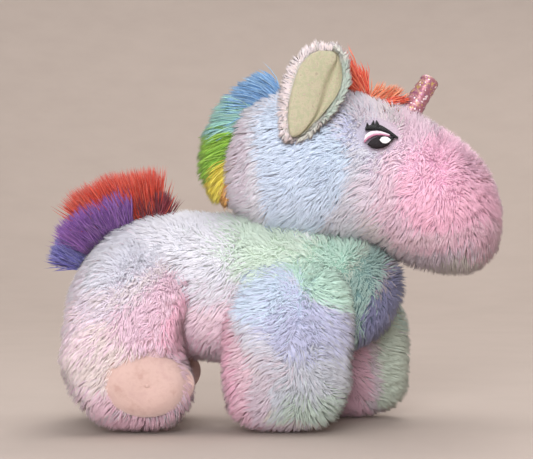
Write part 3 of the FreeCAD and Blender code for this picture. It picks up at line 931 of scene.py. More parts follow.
def flow_of(part, points):
    """The nap's direction at each root."""
    flow = np.zeros_like(points)
    if part == "head":
        low, high = HEAD_BOX
        share = (points[:, 0] - low[0]) / (high[0] - low[0])
        up = (points[:, 2] - low[2]) / (high[2] - low[2])
        ahead = np.clip((share - 0.55) / 0.3, 0, 1)
        flow[:, 0] = -0.75 + 0.9 * ahead * (1 - up)
        flow[:, 2] = -0.45 - 0.55 * ahead * (1 - up)
        return flow
    if part == "torso":
        flow[:] = (-0.7, 0.0, -0.55)
        return flow
    flow[:] = (0.0, 0.0, -0.7)
    if part.startswith("front"):
        away = points[:, 0] - seam_x(part)
        flow[:, 0] = np.clip(away / 0.012, -1, 1) * 0.75
        flow[:, 2] = -0.45
    else:
        flow[:, 0] = -0.35
    return flow


def colour_of(part, points, normals):
    """The colour at each root, from dye spots and painted shade; legs turn pink on their inner, rear
    and under sides, and on the left legs that pink is a darker copy, painted shade.
    """
    if part == "head":
        return dyed(points, HEAD_DYES_AND_SHADE, *HEAD_BOX)
    if part == "torso":
        return dyed(points, TRUNK_DYES_SHADE_AND_LIGHT, *TRUNK_BOX)
    box = leg_box(part)
    base = dyed(points, LEGS[part][1], *box)
    side = 1 if part.endswith("left") else -1
    inner = np.clip((-normals[:, 1] * side - 0.05) / 0.5, 0, 1)
    ahead = (points[:, 0] - box[0][0]) / (box[1][0] - box[0][0])
    inner *= np.clip((0.84 - ahead) / 0.3, 0, 1) if part.startswith("front") else 1
    low = np.clip(1 - (points[:, 2] - box[0][2]) / 0.012, 0, 1) * 0.8
    rear = np.clip((-normals[:, 0] - 0.55) / 0.35, 0, 1) * 0.8 if part.startswith("front") else 0
    share = np.clip(inner + low + rear, 0, 1)[:, None]
    # The left legs get the darker pink: painted shade.
    pink = INNER_PINK if side < 0 else SHADED_FAR_PINK
    return base * (1 - share) + lifted(rgb(pink)) * share


def cover_part(part, count, pile, halves=True):
    """Grow a part's pile; big parts come as a right and a left half."""
    skin = SKINS[part]
    draw = np.random.default_rng(abs(hash_of(part)))
    roots, normals = scatter(skin.data, count, draw)
    keep = exposed(roots, part, FORMS, pile.bury)
    length = np.full(len(roots), pile.length)
    length *= draw.uniform(0.72, 1.12, len(roots))
    length *= 1 + 0.15 * swirl(roots, 0.03, 8)[:, 0]
    if part == "head":
        length *= thin_at_eyes(roots)
    if "leg" in part:
        length *= thin_at_pads(roots, part)
        length *= np.where(roots[:, 2] < 0.012, 0.55 + 0.45 * roots[:, 2] / 0.012, 1.0)
    keep &= length > 0.0022
    made = []
    groups = (("right", roots[:, 1] < 0), ("left", roots[:, 1] >= 0)) if halves else (("", True),)
    for tag, chosen in groups:
        pick = keep & chosen
        name = f"{part}_pile_{tag}" if tag else f"{part}_pile"
        here, up = roots[pick], normals[pick]
        made.append(
            grow_pile(
                name,
                here,
                up,
                flow_of(part, here),
                colour_of(part, here, up),
                length[pick],
                pile,
                draw,
                pile_shades(),
                SHADES,
            )
        )
    return made


def hash_of(text):
    """A steady number from a name."""
    return sum((i + 1) * ord(letter) for i, letter in enumerate(text))


# ---------------------------------------------------------------------------- tufts


def grow_tuft(name, roots, ways, lengths, codes, tuft, seed, bend, steps=5):
    """Long fibres that spread from their roots, bend the same way and end in clumps.

    A centre line leaves along its way and turns evenly towards way + bend over its length.
    """
    draw = np.random.default_rng(seed)
    count = len(roots)
    ways = unit(ways + draw.normal(0, tuft.spread, ways.shape))
    share = np.linspace(0, 1, steps)
    lines = [roots]
    for k in range(1, steps):
        way = unit(ways + bend * share[k] + swirl(roots + ways * 0.01 * k, 0.02, seed) * 0.16)
        lines.append(lines[-1] + way * (lengths / (steps - 1))[:, None])
    lines = np.stack(lines, 1)
    group = gather(roots * 1.7 + ways * 0.012, tuft.clump, seed)
    gap = clump_mean(lines[:, -1], group) - lines[:, -1]
    lines += gap[:, None] * (share**1.6)[None, :, None] * tuft.pull
    lines[:, :, 2] = np.maximum(lines[:, :, 2], FLOOR_CLEAR)
    radius = tuft.thickness / 2 * draw.uniform(0.8, 1.2, count)
    radii = radius[:, None] * (1 - 0.45 * share[:-1] ** 2)[None]
    side = unit(draw.normal(size=roots.shape))
    points, faces, outs, per, sides = strands(lines, radii, side)
    materials = [tuft_material(name, i, code) for i, code in enumerate(codes)]
    picked = draw.choice(len(codes), count)
    return make_mesh(name, points, [faces], None, np.repeat(picked, sides), materials)


def tuft_material(name, number, code):
    """Long polyester tuft pile: a little glossier than the short pile, so strands catch light."""
    key = f"polyester_tuft_{name}_{number}"
    return principled(
        key,
        Base_Color=linear(code),
        Roughness=0.7,
        Specular_IOR_Level=0.25,
        Sheen_Weight=0.15,
    )[0]


# Middles of skull and rump as X and Z, and how far out the roots of mane and tail lie, metres.
SKULL = (0.014, 0.161)
SKULL_REACH = 0.0445
RUMP = (-0.080, 0.075)
RUMP_REACH = 0.049
# Mane: tone codes and, in degrees from the nose direction about the skull's middle, where each
# colour's roots start and end, and its fibre length in millimetres.
MANE = {
    "blue": (("6f9dcc", "86b0da", "a0c4e2"), 104, 130, 25),
    "teal": (("9ed2c4", "b6decf", "a2ced6"), 128, 154, 25),
    "green": (("98c84a", "aad45c", "84ba46"), 152, 177, 25),
    "yellow": (("e6d450", "f0e068", "dcc850"), 175, 192, 21),
    "orange": (("dca45c", "e6b46c", "d49650"), 190, 201, 14),
}
# Tail: the same about the rump's middle.
TAIL = {
    "maroon": (("7a2c36", "8a3440", "6a242e"), 80, 98, 24),
    "red": (("c83e2c", "d4503a", "b03424", "d4604a"), 83, 124, 40),
    "purple": (("84569c", "9a6cb0", "7a4c96"), 100, 141, 29),
    "blue": (("7470b0", "8c88c0", "645ea8"), 136, 154, 24),
}


def fan(low, high, centre, angles, radius, count, draw):
    """Roots on an arc about a centre across a strip's width, and the ways out from the centre."""
    angle = np.radians(draw.uniform(*angles, count))
    across = draw.uniform(low, high, count)
    way = np.stack([np.cos(angle), np.zeros(count), np.sin(angle)], 1)
    roots = np.array([centre[0], 0, centre[1]]) + way * radius
    roots[:, 1] = across
    way[:, 1] = across / max(high, 1e-4) * 0.35
    return roots, unit(way), angle


# ---------------------------------------------------------------------------- settings


class PileSettings(bpy.types.PropertyGroup):
    """The short pile that covers the toy."""

    length: bpy.props.FloatProperty(
        name="Length", description="Pile length", default=0.0098, unit="LENGTH"
    )
    thickness: bpy.props.FloatProperty(
        name="Thickness",
        description="Thickness of a lock at its root",
        default=0.00067,
        unit="LENGTH",
    )
    rise: bpy.props.FloatProperty(name="Rise", description="How far fibres stand up", default=0.85)
    lean: bpy.props.FloatProperty(name="Lean", description="How far the nap lies over", default=0.65)
    curl: bpy.props.FloatProperty(name="Curl", description="Bend of the far half", default=0.55)
    droop: bpy.props.FloatProperty(name="Droop", description="Sag of the far half", default=0.12)
    swirl: bpy.props.FloatProperty(name="Swirl", description="Smooth disorder", default=0.55)
    swirl_wave: bpy.props.FloatProperty(
        name="Swirl size",
        description="Distance over which the nap wanders",
        default=0.024,
        unit="LENGTH",
    )
    chance: bpy.props.FloatProperty(name="Chance", description="Disorder per fibre", default=0.22)
    clump: bpy.props.FloatProperty(
        name="Clump", description="Width of a clump of fibres", default=0.0042, unit="LENGTH"
    )
    clump_pull: bpy.props.FloatProperty(
        name="Clump pull", description="How far tips gather", default=0.5
    )
    softness: bpy.props.FloatProperty(
        name="Softness", description="How much fibres shade like the surface", default=0.74
    )
    bury: bpy.props.FloatProperty(
        name="Bury", description="Depth in a neighbour where pile stops", default=0.005, unit="LENGTH"
    )
    head_fibres: bpy.props.IntProperty(name="Head", description="Head fibres", default=38400)
    trunk_fibres: bpy.props.IntProperty(name="Trunk", description="Trunk fibres", default=39000)
    leg_fibres: bpy.props.IntProperty(name="Leg", description="Fibres per leg", default=16000)
    density: bpy.props.FloatProperty(
        name="Density", description="Share of the full number of fibres", default=1.0
    )
    skin_inset: bpy.props.FloatProperty(
        name="Skin inset", description="Backing cloth inside the CAD form", default=0.004, unit="LENGTH"
    )


class PaddingSettings(bpy.types.PropertyGroup):
    """How the stuffed forms swell."""

    voxel: bpy.props.FloatProperty(
        name="Voxel", description="Remesh size before swelling", default=0.005, unit="LENGTH"
    )
    pressure: bpy.props.FloatProperty(name="Pressure", description="Stuffing pressure", default=4.0)
    cap: bpy.props.FloatProperty(
        name="Cap", description="Most that a point may move", default=0.0025, unit="LENGTH"
    )
    frames: bpy.props.IntProperty(name="Frames", description="Steps of the swelling", default=20)
    floor_gap: bpy.props.FloatProperty(
        name="Floor gap", description="Lowest place of a skin", default=0.0012, unit="LENGTH"
    )


class TuftSettings(bpy.types.PropertyGroup):
    """The long tufts of mane, forelock and tail."""

    thickness: bpy.props.FloatProperty(
        name="Thickness", description="Thickness of a fibre lock", default=0.0007, unit="LENGTH"
    )
    spread: bpy.props.FloatProperty(name="Spread", description="Disorder per fibre", default=0.2)
    clump: bpy.props.FloatProperty(
        name="Clump", description="Width of a clump", default=0.0055, unit="LENGTH"
    )
    pull: bpy.props.FloatProperty(name="Pull", description="How far tips gather", default=0.5)
    count: bpy.props.IntProperty(name="Count", description="Fibres per tuft", default=1500)


class StageSettings(bpy.types.PropertyGroup):
    """Camera and light."""

    distance: bpy.props.FloatProperty(
        name="Distance", description="Camera to the toy's middle plane", default=0.93, unit="LENGTH"
    )
    lens: bpy.props.FloatProperty(name="Lens", description="Focal length in mm", default=101.0)
    key: bpy.props.FloatProperty(name="Key", description="Watts of the key light", default=44.0)
    fill: bpy.props.FloatProperty(name="Fill", description="Strength of the room light", default=1.06)
    wash: bpy.props.FloatProperty(name="Wash", description="Watts on the backdrop", default=18.0)


def settings():
    """The scene's settings for this toy."""
    return bpy.context.scene.plush


class PlushSettings(bpy.types.PropertyGroup):
    """All settings of the toy."""

    pile: bpy.props.PointerProperty(type=PileSettings)
    padding: bpy.props.PointerProperty(type=PaddingSettings)
    tuft: bpy.props.PointerProperty(type=TuftSettings)
    stage: bpy.props.PointerProperty(type=StageSettings)


# ---------------------------------------------------------------------------- operators


# Where the paper starts to rise round the toy, in metres, and how fast.
COVE_START = 1.0
COVE_RISE = 0.2
COVE_END = 7.0
# Softboxes: name, place, size in metres, share of the key light's power and tone.
SOFTBOXES = (
    ("key_softbox", (-0.25, -1.9, 0.62), 1.0, 1.0, "f8faff"),
    ("top_softbox", (0.2, 0.1, 1.6), 1.2, 0.22, "ffffff"),
    ("back_softbox", (0.5, 1.7, 2.0), 1.0, 0.4, "fffaf6"),
)
# The wash light over the backdrop: place, size in metres, tilt in degrees.
WASH = ((0.0, 2.2, 2.6), 2.5, 70)
# The camera's X and Z.
CAMERA_X = -0.0071
CAMERA_Z = 0.1215


def add_softbox(name, spot, size, watts, tone, turn):
    """A square area light at a spot, turned by Euler angles."""
    lamp = bpy.data.lights.new(name, "AREA")
    lamp.shape = "SQUARE"
    lamp.size = size
    lamp.energy = watts
    lamp.color = linear(tone)[:3]
    made = bpy.data.objects.new(name, lamp)
    made.location = spot
    made.rotation_euler = turn
    bpy.context.scene.collection.objects.link(made)


class SetStage(bpy.types.Operator):
    """Pale floor that rises into a backdrop, soft light and the camera"""

    bl_idname = "plush.stage"
    bl_label = "Stage"

    def execute(self, context):
        stage = settings().stage
        scene = context.scene
        low, high = CAD_BOX
        middle = (low + high) / 2
        radius = np.concatenate(
            [np.linspace(0.02, COVE_START, 16), np.linspace(COVE_START + 0.1, COVE_END, 40)]
        )
        rise = np.where(radius > COVE_START, (radius - COVE_START) ** 2 * COVE_RISE, 0.0)
        angle = np.arange(64) * 2 * math.pi / 64
        rings = np.stack(
            [
                radius[:, None] * np.cos(angle)[None],
                radius[:, None] * np.sin(angle)[None],
                np.repeat(rise[:, None], 64, 1),
            ],
            2,
        )
        points = np.concatenate([rings.reshape(-1, 3), [[0, 0, 0]]])
        here = np.arange(64)
        there = np.roll(here, -1)
        base = (np.arange(len(radius) - 1) * 64)[:, None]
        quads = np.stack([base + here, base + 64 + here, base + 64 + there, base + there], 2)
        hub = np.stack([np.full(64, len(points) - 1), here, there], 1)
        floor = make_mesh("studio_floor", points, [quads.reshape(-1, 4), hub])
        floor.data.materials.append(
            noisy_cloth("matt_studio_paper", ("b3a59b", "afa197"), 90.0, 0.9, bump=0.0)
        )
        world = bpy.data.worlds.new("studio_air")
        scene.world = world
        world.use_nodes = True
        air = world.node_tree.nodes["Background"]
        air.inputs["Color"].default_value = linear("f2f4f8")
        air.inputs["Strength"].default_value = stage.fill
        for name, spot, size, share, tone in SOFTBOXES:
            aim = Vector(middle) - Vector(spot)
            turn = aim.to_track_quat("-Z", "Y").to_euler()
            add_softbox(name, spot, size, stage.key * share, tone, turn)
        spot, size, tilt = WASH
        add_softbox(
            "backdrop_wash", spot, size, stage.wash, "ffffff", (math.radians(tilt), 0, 0)
        )
        camera = bpy.data.cameras.new("camera")
        camera.lens = stage.lens
        camera.sensor_width = 36.0
        camera.clip_start, camera.clip_end = 0.05, 60.0
        holder = bpy.data.objects.new("camera", camera)
        holder.location = (CAMERA_X, -stage.distance, CAMERA_Z)
        holder.rotation_euler = (math.radians(90), 0, 0)
        scene.collection.objects.link(holder)
        scene.camera = holder
        scene.view_settings.view_transform = "Standard"
        return {"FINISHED"}


class StuffForms(bpy.types.Operator):
    """Head, trunk and legs as swollen covers of dyed backing cloth"""

    bl_idname = "plush.forms"
    bl_label = "Stuffed forms"

    def execute(self, context):
        plush = settings()
        FORMS.update(all_forms(plush.pile))
        covers = []
        for part, form in FORMS.items():
            big = part in ("head", "torso")
            rings, first, last = form.surface(56 if big else 36, 72 if big else 48)
            points, faces = closed_grid(rings, first, last)
            skin = make_mesh(f"{part}_skin", points, faces)
            covers.append((skin, plush.padding.voxel * (1.0 if big else 0.8)))
            SKINS[part] = skin
        stuff(covers, plush.padding)
        for part, skin in SKINS.items():
            mesh = skin.data
            mesh.materials.clear()
            mesh.materials.append(backing_material())
            places, normals = coordinates(mesh), vertex_normals(mesh)
            tie_dye(skin, colour_of(part, places, normals))
        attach(SKINS["head"], "head")
        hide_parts("head_stuffing", *HEAD_NODES)
        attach(SKINS["torso"], "torso")
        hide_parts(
            "torso_stuffing",
            *TRUNK_NODES,
            *[f"joint_thread_{leg}_{side}" for leg in ("front", "hind") for side, _ in SIDES],
        )
        for leg in LEGS:
            join_leg(SKINS[leg])
            kind, side = leg.split("_")[0], leg.split("_")[-1]
            covered = [node for node in leg_nodes(leg) if not node.endswith("foot_pad")]
            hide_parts(*covered, f"{kind}_leg_{side}_stuffing")
        return {"FINISHED"}


def join_leg(piece):
    """Bake a leg's piece's place into its mesh."""
    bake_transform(piece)


class GrowHeadPile(bpy.types.Operator):
    """Dyed pile over the head"""

    bl_idname = "plush.head_pile"
    bl_label = "Head pile"

    def execute(self, context):
        pile = settings().pile
        for made in cover_part("head", int(pile.head_fibres * pile.density), pile):
            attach(made, "head")
        return {"FINISHED"}


class GrowTrunkPile(bpy.types.Operator):
    """Dyed pile over the trunk"""

    bl_idname = "plush.trunk_pile"
    bl_label = "Trunk pile"

    def execute(self, context):
        pile = settings().pile
        for made in cover_part("torso", int(pile.trunk_fibres * pile.density), pile):
            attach(made, "torso")
        return {"FINISHED"}


class GrowLegPile(bpy.types.Operator):
    """Dyed pile over the four legs"""

    bl_idname = "plush.leg_pile"
    bl_label = "Leg pile"

    def execute(self, context):
        pile = settings().pile
        for leg in LEGS:
            for made in cover_part(leg, int(pile.leg_fibres * pile.density), pile, halves=False):
                join_leg(made)
        return {"FINISHED"}


class MakeNeck(bpy.types.Operator):
    """The stuffed neck that hides between trunk and head"""

    bl_idname = "plush.neck"
    bl_label = "Neck"

    def execute(self, context):
        low, high = (np.array(corner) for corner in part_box("neck_plug"))
        middle = (low + high) / 2
        turn = np.linspace(0, math.pi, 22)[1:-1]
        height = middle[2] - np.cos(turn) * (high[2] - low[2]) / 2
        radius = np.sin(turn) ** 0.7 * (high[0] - low[0]) / 2 * 0.97
        angle = np.arange(40) * 2 * math.pi / 40
        rings = np.stack(
            [
                middle[0] + radius[:, None] * np.cos(angle)[None],
                radius[:, None] * np.sin(angle)[None],
                np.repeat(height[:, None], 40, 1),
            ],
            2,
        )
        points, faces = closed_grid(
            rings,
            np.array([middle[0], 0, low[2]]),
            np.array([middle[0], 0, high[2]]),
        )
        neck = make_mesh("neck_stuffing", points, faces)
        neck.data.materials.append(
            noisy_cloth("bonded_polyester_wadding", ("d8d4dc", "eeebf0"), 3.0, 0.95)
        )
        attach(neck, "neck")
        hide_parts("neck_plug")
        return {"FINISHED"}


# Foot pad in metres: how proud its middle and rim stand, its depth behind the cloth, its folds.
PAD_CROWN = 0.0035
PAD_PROUD = 0.0015
PAD_DEPTH = 0.004
PAD_FOLD = 0.0011
# The pad's half sizes as shares of its CAD oval's.
PAD_WIDE = 1.02
PAD_HIGH = 1.1


class MakeFootPads(bpy.types.Operator):
    """Smooth peach velour pads let into the hind feet"""

    bl_idname = "plush.foot_pads"
    bl_label = "Foot pads"

    def execute(self, context):
        velour = noisy_cloth(
            "brushed_velour_peach", ("bd9a90", "cbaca2", "c3a199"), 7.0, 0.9, 0.5, 0.3
        )
        for side, sign in SIDES:
            low, high = (np.array(c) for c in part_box(f"hind_leg_{side}_foot_pad"))
            middle, half = (low + high) / 2, (high - low) / 2
            share = np.linspace(0, 1, 26)[1:]
            angle = np.arange(96) * 2 * math.pi / 96
            lobes = 1 + 0.05 * np.cos(2 * angle + 0.7) + 0.03 * np.cos(3 * angle - 0.4)
            x = middle[0] + half[0] * PAD_WIDE * share[:, None] * (np.cos(angle) * lobes)[None]
            z = middle[2] + half[2] * PAD_HIGH * share[:, None] * (np.sin(angle) * lobes)[None]
            form = FORMS[f"hind_leg_{side}"]
            pull = (1 - share[:, None] ** 4) * PAD_CROWN
            face = outer_face(form, x.ravel(), z.ravel(), sign).reshape(x.shape)
            crease = PAD_FOLD * np.sin(x / 0.0075 + z / 0.012 + 1.6 * np.sin(z / 0.009))
            y_front = face + sign * (PAD_PROUD + pull + crease * (1 - share[:, None]))
            front = np.stack([x, y_front, z], 2)
            back = np.stack([x, face - sign * PAD_DEPTH, z], 2)[::-1]
            hub_y = outer_face(form, middle[:1], middle[2:], sign)[0]
            first = np.array([middle[0], hub_y + sign * (PAD_PROUD + PAD_CROWN + 0.001), middle[2]])
            last = np.array([middle[0], hub_y - sign * PAD_DEPTH, middle[2]])
            points, faces = closed_grid(np.concatenate([front, back]), first, last)
            pad = make_mesh(f"hind_foot_pad_{side}", points, faces)
            pad.data.materials.append(velour)
            join_leg(pad)
            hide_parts(f"hind_leg_{side}_foot_pad")
        return {"FINISHED"}


def outer_face(form, x, z, sign):
    """Y of an upright form's outer face at X, Z: the superellipse solved for its side way."""
    share = (z - form.start) / (form.end - form.start)
    mid, half, side, side_half = form.ring_values(np.clip(share, 0.02, 0.98))
    across = np.clip(np.abs((x - mid) / half), 0, 0.97) ** form.POWER
    return side + sign * side_half * (1 - across) ** (1 / form.POWER)


# The horn's lean in degrees, and its radii at base and tip in metres.
HORN_LEAN = 31
HORN_BASE = 0.0074
HORN_TIP = 0.0057
# How far past the box the tip stands ahead and above, metres, and its length in box heights.
HORN_FORWARD = 0.0021
HORN_UP = 0.0028
HORN_LONG = 1.45


class MakeHorn(bpy.types.Operator):
    """Short blunt horn of glitter film, puckered along its length"""

    bl_idname = "plush.horn"
    bl_label = "Horn"

    def execute(self, context):
        low, high = (np.array(c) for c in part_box("horn_cover"))
        lean = math.radians(HORN_LEAN)
        axis = np.array([math.sin(lean), 0, math.cos(lean)])
        across = np.array([math.cos(lean), 0, -math.sin(lean)])
        long = HORN_LONG * (high[2] - low[2])
        tip = np.array([high[0] + HORN_FORWARD, 0, high[2] + HORN_UP])
        base = tip - axis * long
        share = np.linspace(0, 1, 44)
        angle = np.arange(56) * 2 * math.pi / 56
        radius = HORN_BASE + (HORN_TIP - HORN_BASE) * share
        end = np.clip((share - 0.9) / 0.1, 0, 1)
        radius = radius * np.sqrt(np.clip(1 - end**3, 0.02, 1))
        wrinkle = 1 + 0.03 * np.sin(share[:, None] * 44 + 1.6 * np.sin(angle)[None])
        wrinkle += 0.035 * np.sin(3 * angle + 9 * share[:, None])
        r = radius[:, None] * wrinkle
        rings = (
            base
            + axis * (share * long)[:, None, None]
            + across * (r * np.cos(angle)[None])[:, :, None]
            + np.array([0, 1, 0]) * (r * np.sin(angle)[None])[:, :, None]
        )
        points, faces = closed_grid(rings, base, base + axis * (long + 0.0002))
        horn = make_mesh("horn_film", points, faces)
        horn.data.materials.append(glitter_film())
        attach(horn, "head")
        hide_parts("horn_cover", "horn_stuffing")
        return {"FINISHED"}


# Eye embroidery as pairs of curves, lower then upper, in millimetres forward of and above the
# middle of the eye's own box. Each has its thread, and its height over the cloth in millimetres.
EYE_FIELDS = {
    "pupil": (
        ((-7.1, -6.2), (-4.5, -8.2), (-1.3, -8.7), (2.6, -8.0), (6.0, -6.0)),
        ((-7.1, -5.6), (-4.6, -3.0), (-1.3, -1.6), (2.6, -1.0), (6.6, -1.6)),
        "wine",
        0.5,
    ),
    "corner": (
        ((5.6, -5.0), (7.0, -4.4), (8.4, -3.2)),
        ((5.2, -1.6), (7.4, -1.2), (9.6, -1.6)),
        "black",
        0.6,
    ),
    "lid": (
        ((-9.3, -4.0), (-6.4, -1.4), (-3.0, 0.2), (1.0, 0.6), (6.2, -0.4)),
        ((-8.6, -0.6), (-5.6, 1.8), (-1.6, 2.4), (2.4, 1.8), (6.6, 0.1)),
        "lid",
        0.8,
    ),
    "lid_line": (
        ((-9.0, -5.2), (-6.2, -2.4), (-3.0, -0.8), (1.0, -0.3), (6.4, -1.2)),
        ((-9.3, -4.0), (-6.4, -1.3), (-3.0, 0.2), (1.0, 0.6), (6.4, -0.5)),
        "rose",
        1.0,
    ),
    "highlight": (
        ((0.0, -3.5), (1.6, -5.3), (3.8, -5.6), (5.6, -4.8), (6.9, -3.4)),
        ((0.0, -3.3), (1.4, -1.6), (3.6, -1.2), (5.6, -1.9), (6.9, -3.2)),
        "white",
        1.3,
    ),
    "lash_line": (
        ((-8.3, 2.6), (-5.0, 3.0), (0.6, 2.8), (5.6, 1.0), (11.2, -2.6)),
        ((-8.0, 4.6), (-4.6, 6.2), (0.6, 6.4), (5.6, 3.6), (11.6, -1.4)),
        "black",
        1.2,
    ),
    "lash_rear": (
        ((-7.9, 3.6), (-7.6, 5.2), (-7.0, 7.4)),
        ((-5.6, 4.2), (-5.9, 5.6), (-6.9, 7.5)),
        "black",
        1.1,
    ),
    "lash_middle": (
        ((-4.9, 4.6), (-4.3, 6.6), (-3.0, 9.0)),
        ((-2.2, 4.8), (-2.3, 6.8), (-2.8, 9.1)),
        "black",
        1.1,
    ),
    "lash_front": (
        ((-2.4, 4.6), (-1.9, 6.8), (-1.1, 9.0)),
        ((0.9, 4.8), (0.4, 6.6), (-0.8, 9.1)),
        "black",
        1.3,
    ),
}


def curve_through(points, count):
    """Even samples along smoothed straight runs through the points."""
    points = np.array(points, float)
    at = np.linspace(0, 1, len(points))
    even = np.linspace(0, 1, count)
    runs = np.stack([np.interp(even, at, points[:, i]) for i in range(2)], 1)
    padded = np.pad(runs, ((3, 3), (0, 0)), mode="edge")
    soft = sum(padded[i : i + count] for i in range(7)) / 7
    blend = np.clip(np.minimum(even, 1 - even) * 6, 0, 1)[:, None]
    return runs * (1 - blend) + soft * blend


def cheek_fit(middle, sign):
    """The swollen cheek near a point as Y = a second-degree polynomial of X and Z."""
    places = coordinates(SKINS["head"].data)
    gap = places[:, [0, 2]] - middle[[0, 2]]
    near = (np.abs(gap).max(1) < 0.018) & (places[:, 1] * sign > 0.01)
    x, z = gap[near].T
    terms = np.stack([np.ones_like(x), x, z, x * x, x * z, z * z], 1)
    parts = np.linalg.lstsq(terms, places[near, 1], rcond=None)[0]

    def height(px, pz):
        dx, dz = px - middle[0], pz - middle[2]
        stack = np.stack([np.ones_like(dx), dx, dz, dx * dx, dx * dz, dz * dz], -1)
        return stack @ parts

    return height


def stitched_patch(name, lower, upper, rise, face, middle, sign):
    """A closed satin field between two curves: crowned in front, sunk into the cloth behind.

    Across the field the height is the rise plus half an ellipse, and stitches make a fine ripple.
    """
    count, across = 48, 11
    low, up = curve_through(lower, count) * MM, curve_through(upper, count) * MM
    share = np.linspace(0, 1, across)
    flat = low[:, None] * (1 - share)[None, :, None] + up[:, None] * share[None, :, None]
    x, z = middle[0] + flat[..., 0], middle[2] + flat[..., 1]
    crown = np.sqrt(np.clip(1 - (2 * share - 1) ** 2, 0, 1))[None] * 0.5 * MM
    ripple = np.sin(np.arange(count) * math.pi / 1.5)[:, None] * 0.05 * MM
    base = face(x, z) + sign * EYE_LIFT
    front = np.stack([x, base + sign * (rise * MM + crown + ripple), z], -1)
    back = np.stack([x, base - sign * 2.5 * MM, z], -1)[:, ::-1]
    rings = np.concatenate([front, back], 1)
    points, faces = closed_grid(rings, rings[0].mean(0), rings[-1].mean(0))
    return make_mesh(name, points, faces)


EYE_LIFT = 0.0034


class MakeEyes(bpy.types.Operator):
    """Embroidered eyes: satin lash line, lashes, lid, dark pupil and white highlight"""

    bl_idname = "plush.eyes"
    bl_label = "Eyes"

    def execute(self, context):
        threads = {
            "black": satin_thread("rayon_thread_black", "060507", 1.0),
            "wine": satin_thread("rayon_thread_wine", "160810", 1.2),
            "lid": satin_thread("rayon_thread_pale_pink", "f2e4ec", 1.5),
            "rose": satin_thread("rayon_thread_rose", "c9829f", 1.5),
            "white": satin_thread("rayon_thread_white", "fbfafa", 0.2),
        }
        nodes = {"lash_line": "lashes", "pupil": "pupil", "lid": "lid", "highlight": "highlight"}
        for side, sign in SIDES:
            middle, _ = eye_spot(sign)
            face = cheek_fit(middle, sign)
            for field, (lower, upper, thread, rise) in EYE_FIELDS.items():
                name = f"eye_stitch_{field}_{side}"
                patch = stitched_patch(name, lower, upper, rise, face, middle, sign)
                patch.data.materials.append(threads[thread])
                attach(patch, "head")
                if field in nodes:
                    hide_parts(f"eye_{nodes[field]}_{side}")
        return {"FINISHED"}


class SewEars(bpy.types.Operator):
    """Cupped ears: furry back, cream lining and a fold"""

    bl_idname = "plush.ears"
    bl_label = "Ears"

    def execute(self, context):
        pile = settings().pile
        for side, sign in SIDES:
            low, high = box_of(f"ear_back_panel_{side}", f"ear_lining_panel_{side}")
            leaf(side, sign, low, high, pile)
        return {"FINISHED"}


# Rows up an ear: height, then rear edge, fold and front edge of the lining, in millimetres from
# the low rear corner of the ear's box.
EAR_ROWS = np.array(
    (
        (0.5, 8.0, 10.0, 11.5),
        (2.5, 6.2, 13.5, 15.5),
        (6.5, 5.6, 17.0, 19.0),
        (12.0, 5.2, 21.0, 24.5),
        (18.0, 5.6, 23.6, 29.5),
        (24.0, 6.4, 25.4, 34.0),
        (30.0, 7.8, 27.2, 37.0),
        (36.0, 9.6, 29.0, 38.2),
        (42.0, 11.8, 32.0, 38.0),
        (46.5, 14.6, 34.5, 37.0),
        (50.5, 19.0, 34.5, 36.0),
        (53.0, 25.0, 31.0, 33.0),
    )
)


def ear_edges(height):
    """Rear edge, fold and front edge at heights in millimetres, rows joined smoothly."""
    low, high = EAR_ROWS[0, 0], EAR_ROWS[-1, 0]
    share = (EAR_ROWS[:, 0] - low) / (high - low)
    at = np.clip((height - low) / (high - low), 0, 1)
    return np.stack([np.interp(at, share, EAR_ROWS[:, i]) for i in (1, 2, 3)], -1)


def ear_cup(height, across):
    """Outward set of the ear in millimetres: it leans in as it rises and its rim turns out."""
    return 3.4 - 0.16 * height + 2.2 * across**2


def ear_shell(name, low, sign, margin, thick, puff, valley):
    """A closed ear layer between the lining's edges grown by a margin.

    Its outer face is the cup plus a puff between the rear edge and the fold (half an ellipse),
    less a valley between the fold and the front edge; its inner face lies one thickness behind.
    """
    rows, across = 46, 40
    start, end = EAR_ROWS[0, 0] - margin * 0.4, EAR_ROWS[-1, 0] + margin * 0.8
    height = start + (end - start) * (1 - np.cos(np.linspace(0.03, 0.985, rows) * math.pi)) / 2
    rear, fold, front = ear_edges(height).T
    ends = np.sqrt(np.clip(1 - (2 * np.linspace(0, 1, rows) - 1) ** 8, 0.01, 1))
    grow = margin * ends
    rear, front = rear - grow, front + grow
    share = (1 - np.cos(np.linspace(0, 1, across) * math.pi)) / 2
    x = rear[:, None] + (front - rear)[:, None] * share
    before = np.clip((x - rear[:, None]) / (fold - rear)[:, None], 0, 1)
    after = np.clip((x - fold[:, None]) / np.maximum(front - fold, 0.5)[:, None], 0, 1)
    shape = puff * np.sqrt(np.clip(1 - (2 * before - 1) ** 2, 0, 1)) * (1.15 - 0.3 * before)
    dip = valley * np.sin(np.clip(after, 0, 1) * math.pi) ** 0.7
    cup = ear_cup(height[:, None], 2 * share[None] - 1)
    taper = ends[:, None]
    outer = cup + (shape - dip) * taper + thick / 2 * taper
    inner = cup - dip * taper - thick / 2 * taper
    top = np.stack([x, sign * outer, np.repeat(height[:, None], across, 1)], 2)
    back = np.stack([x, sign * inner, np.repeat(height[:, None], across, 1)], 2)[:, ::-1]
    rings = np.concatenate([top, back], 1) * MM + np.array([low[0], low[1], low[2]])
    points, faces = closed_grid(rings, rings[0].mean(0), rings[-1].mean(0))
    return make_mesh(name, points, faces)


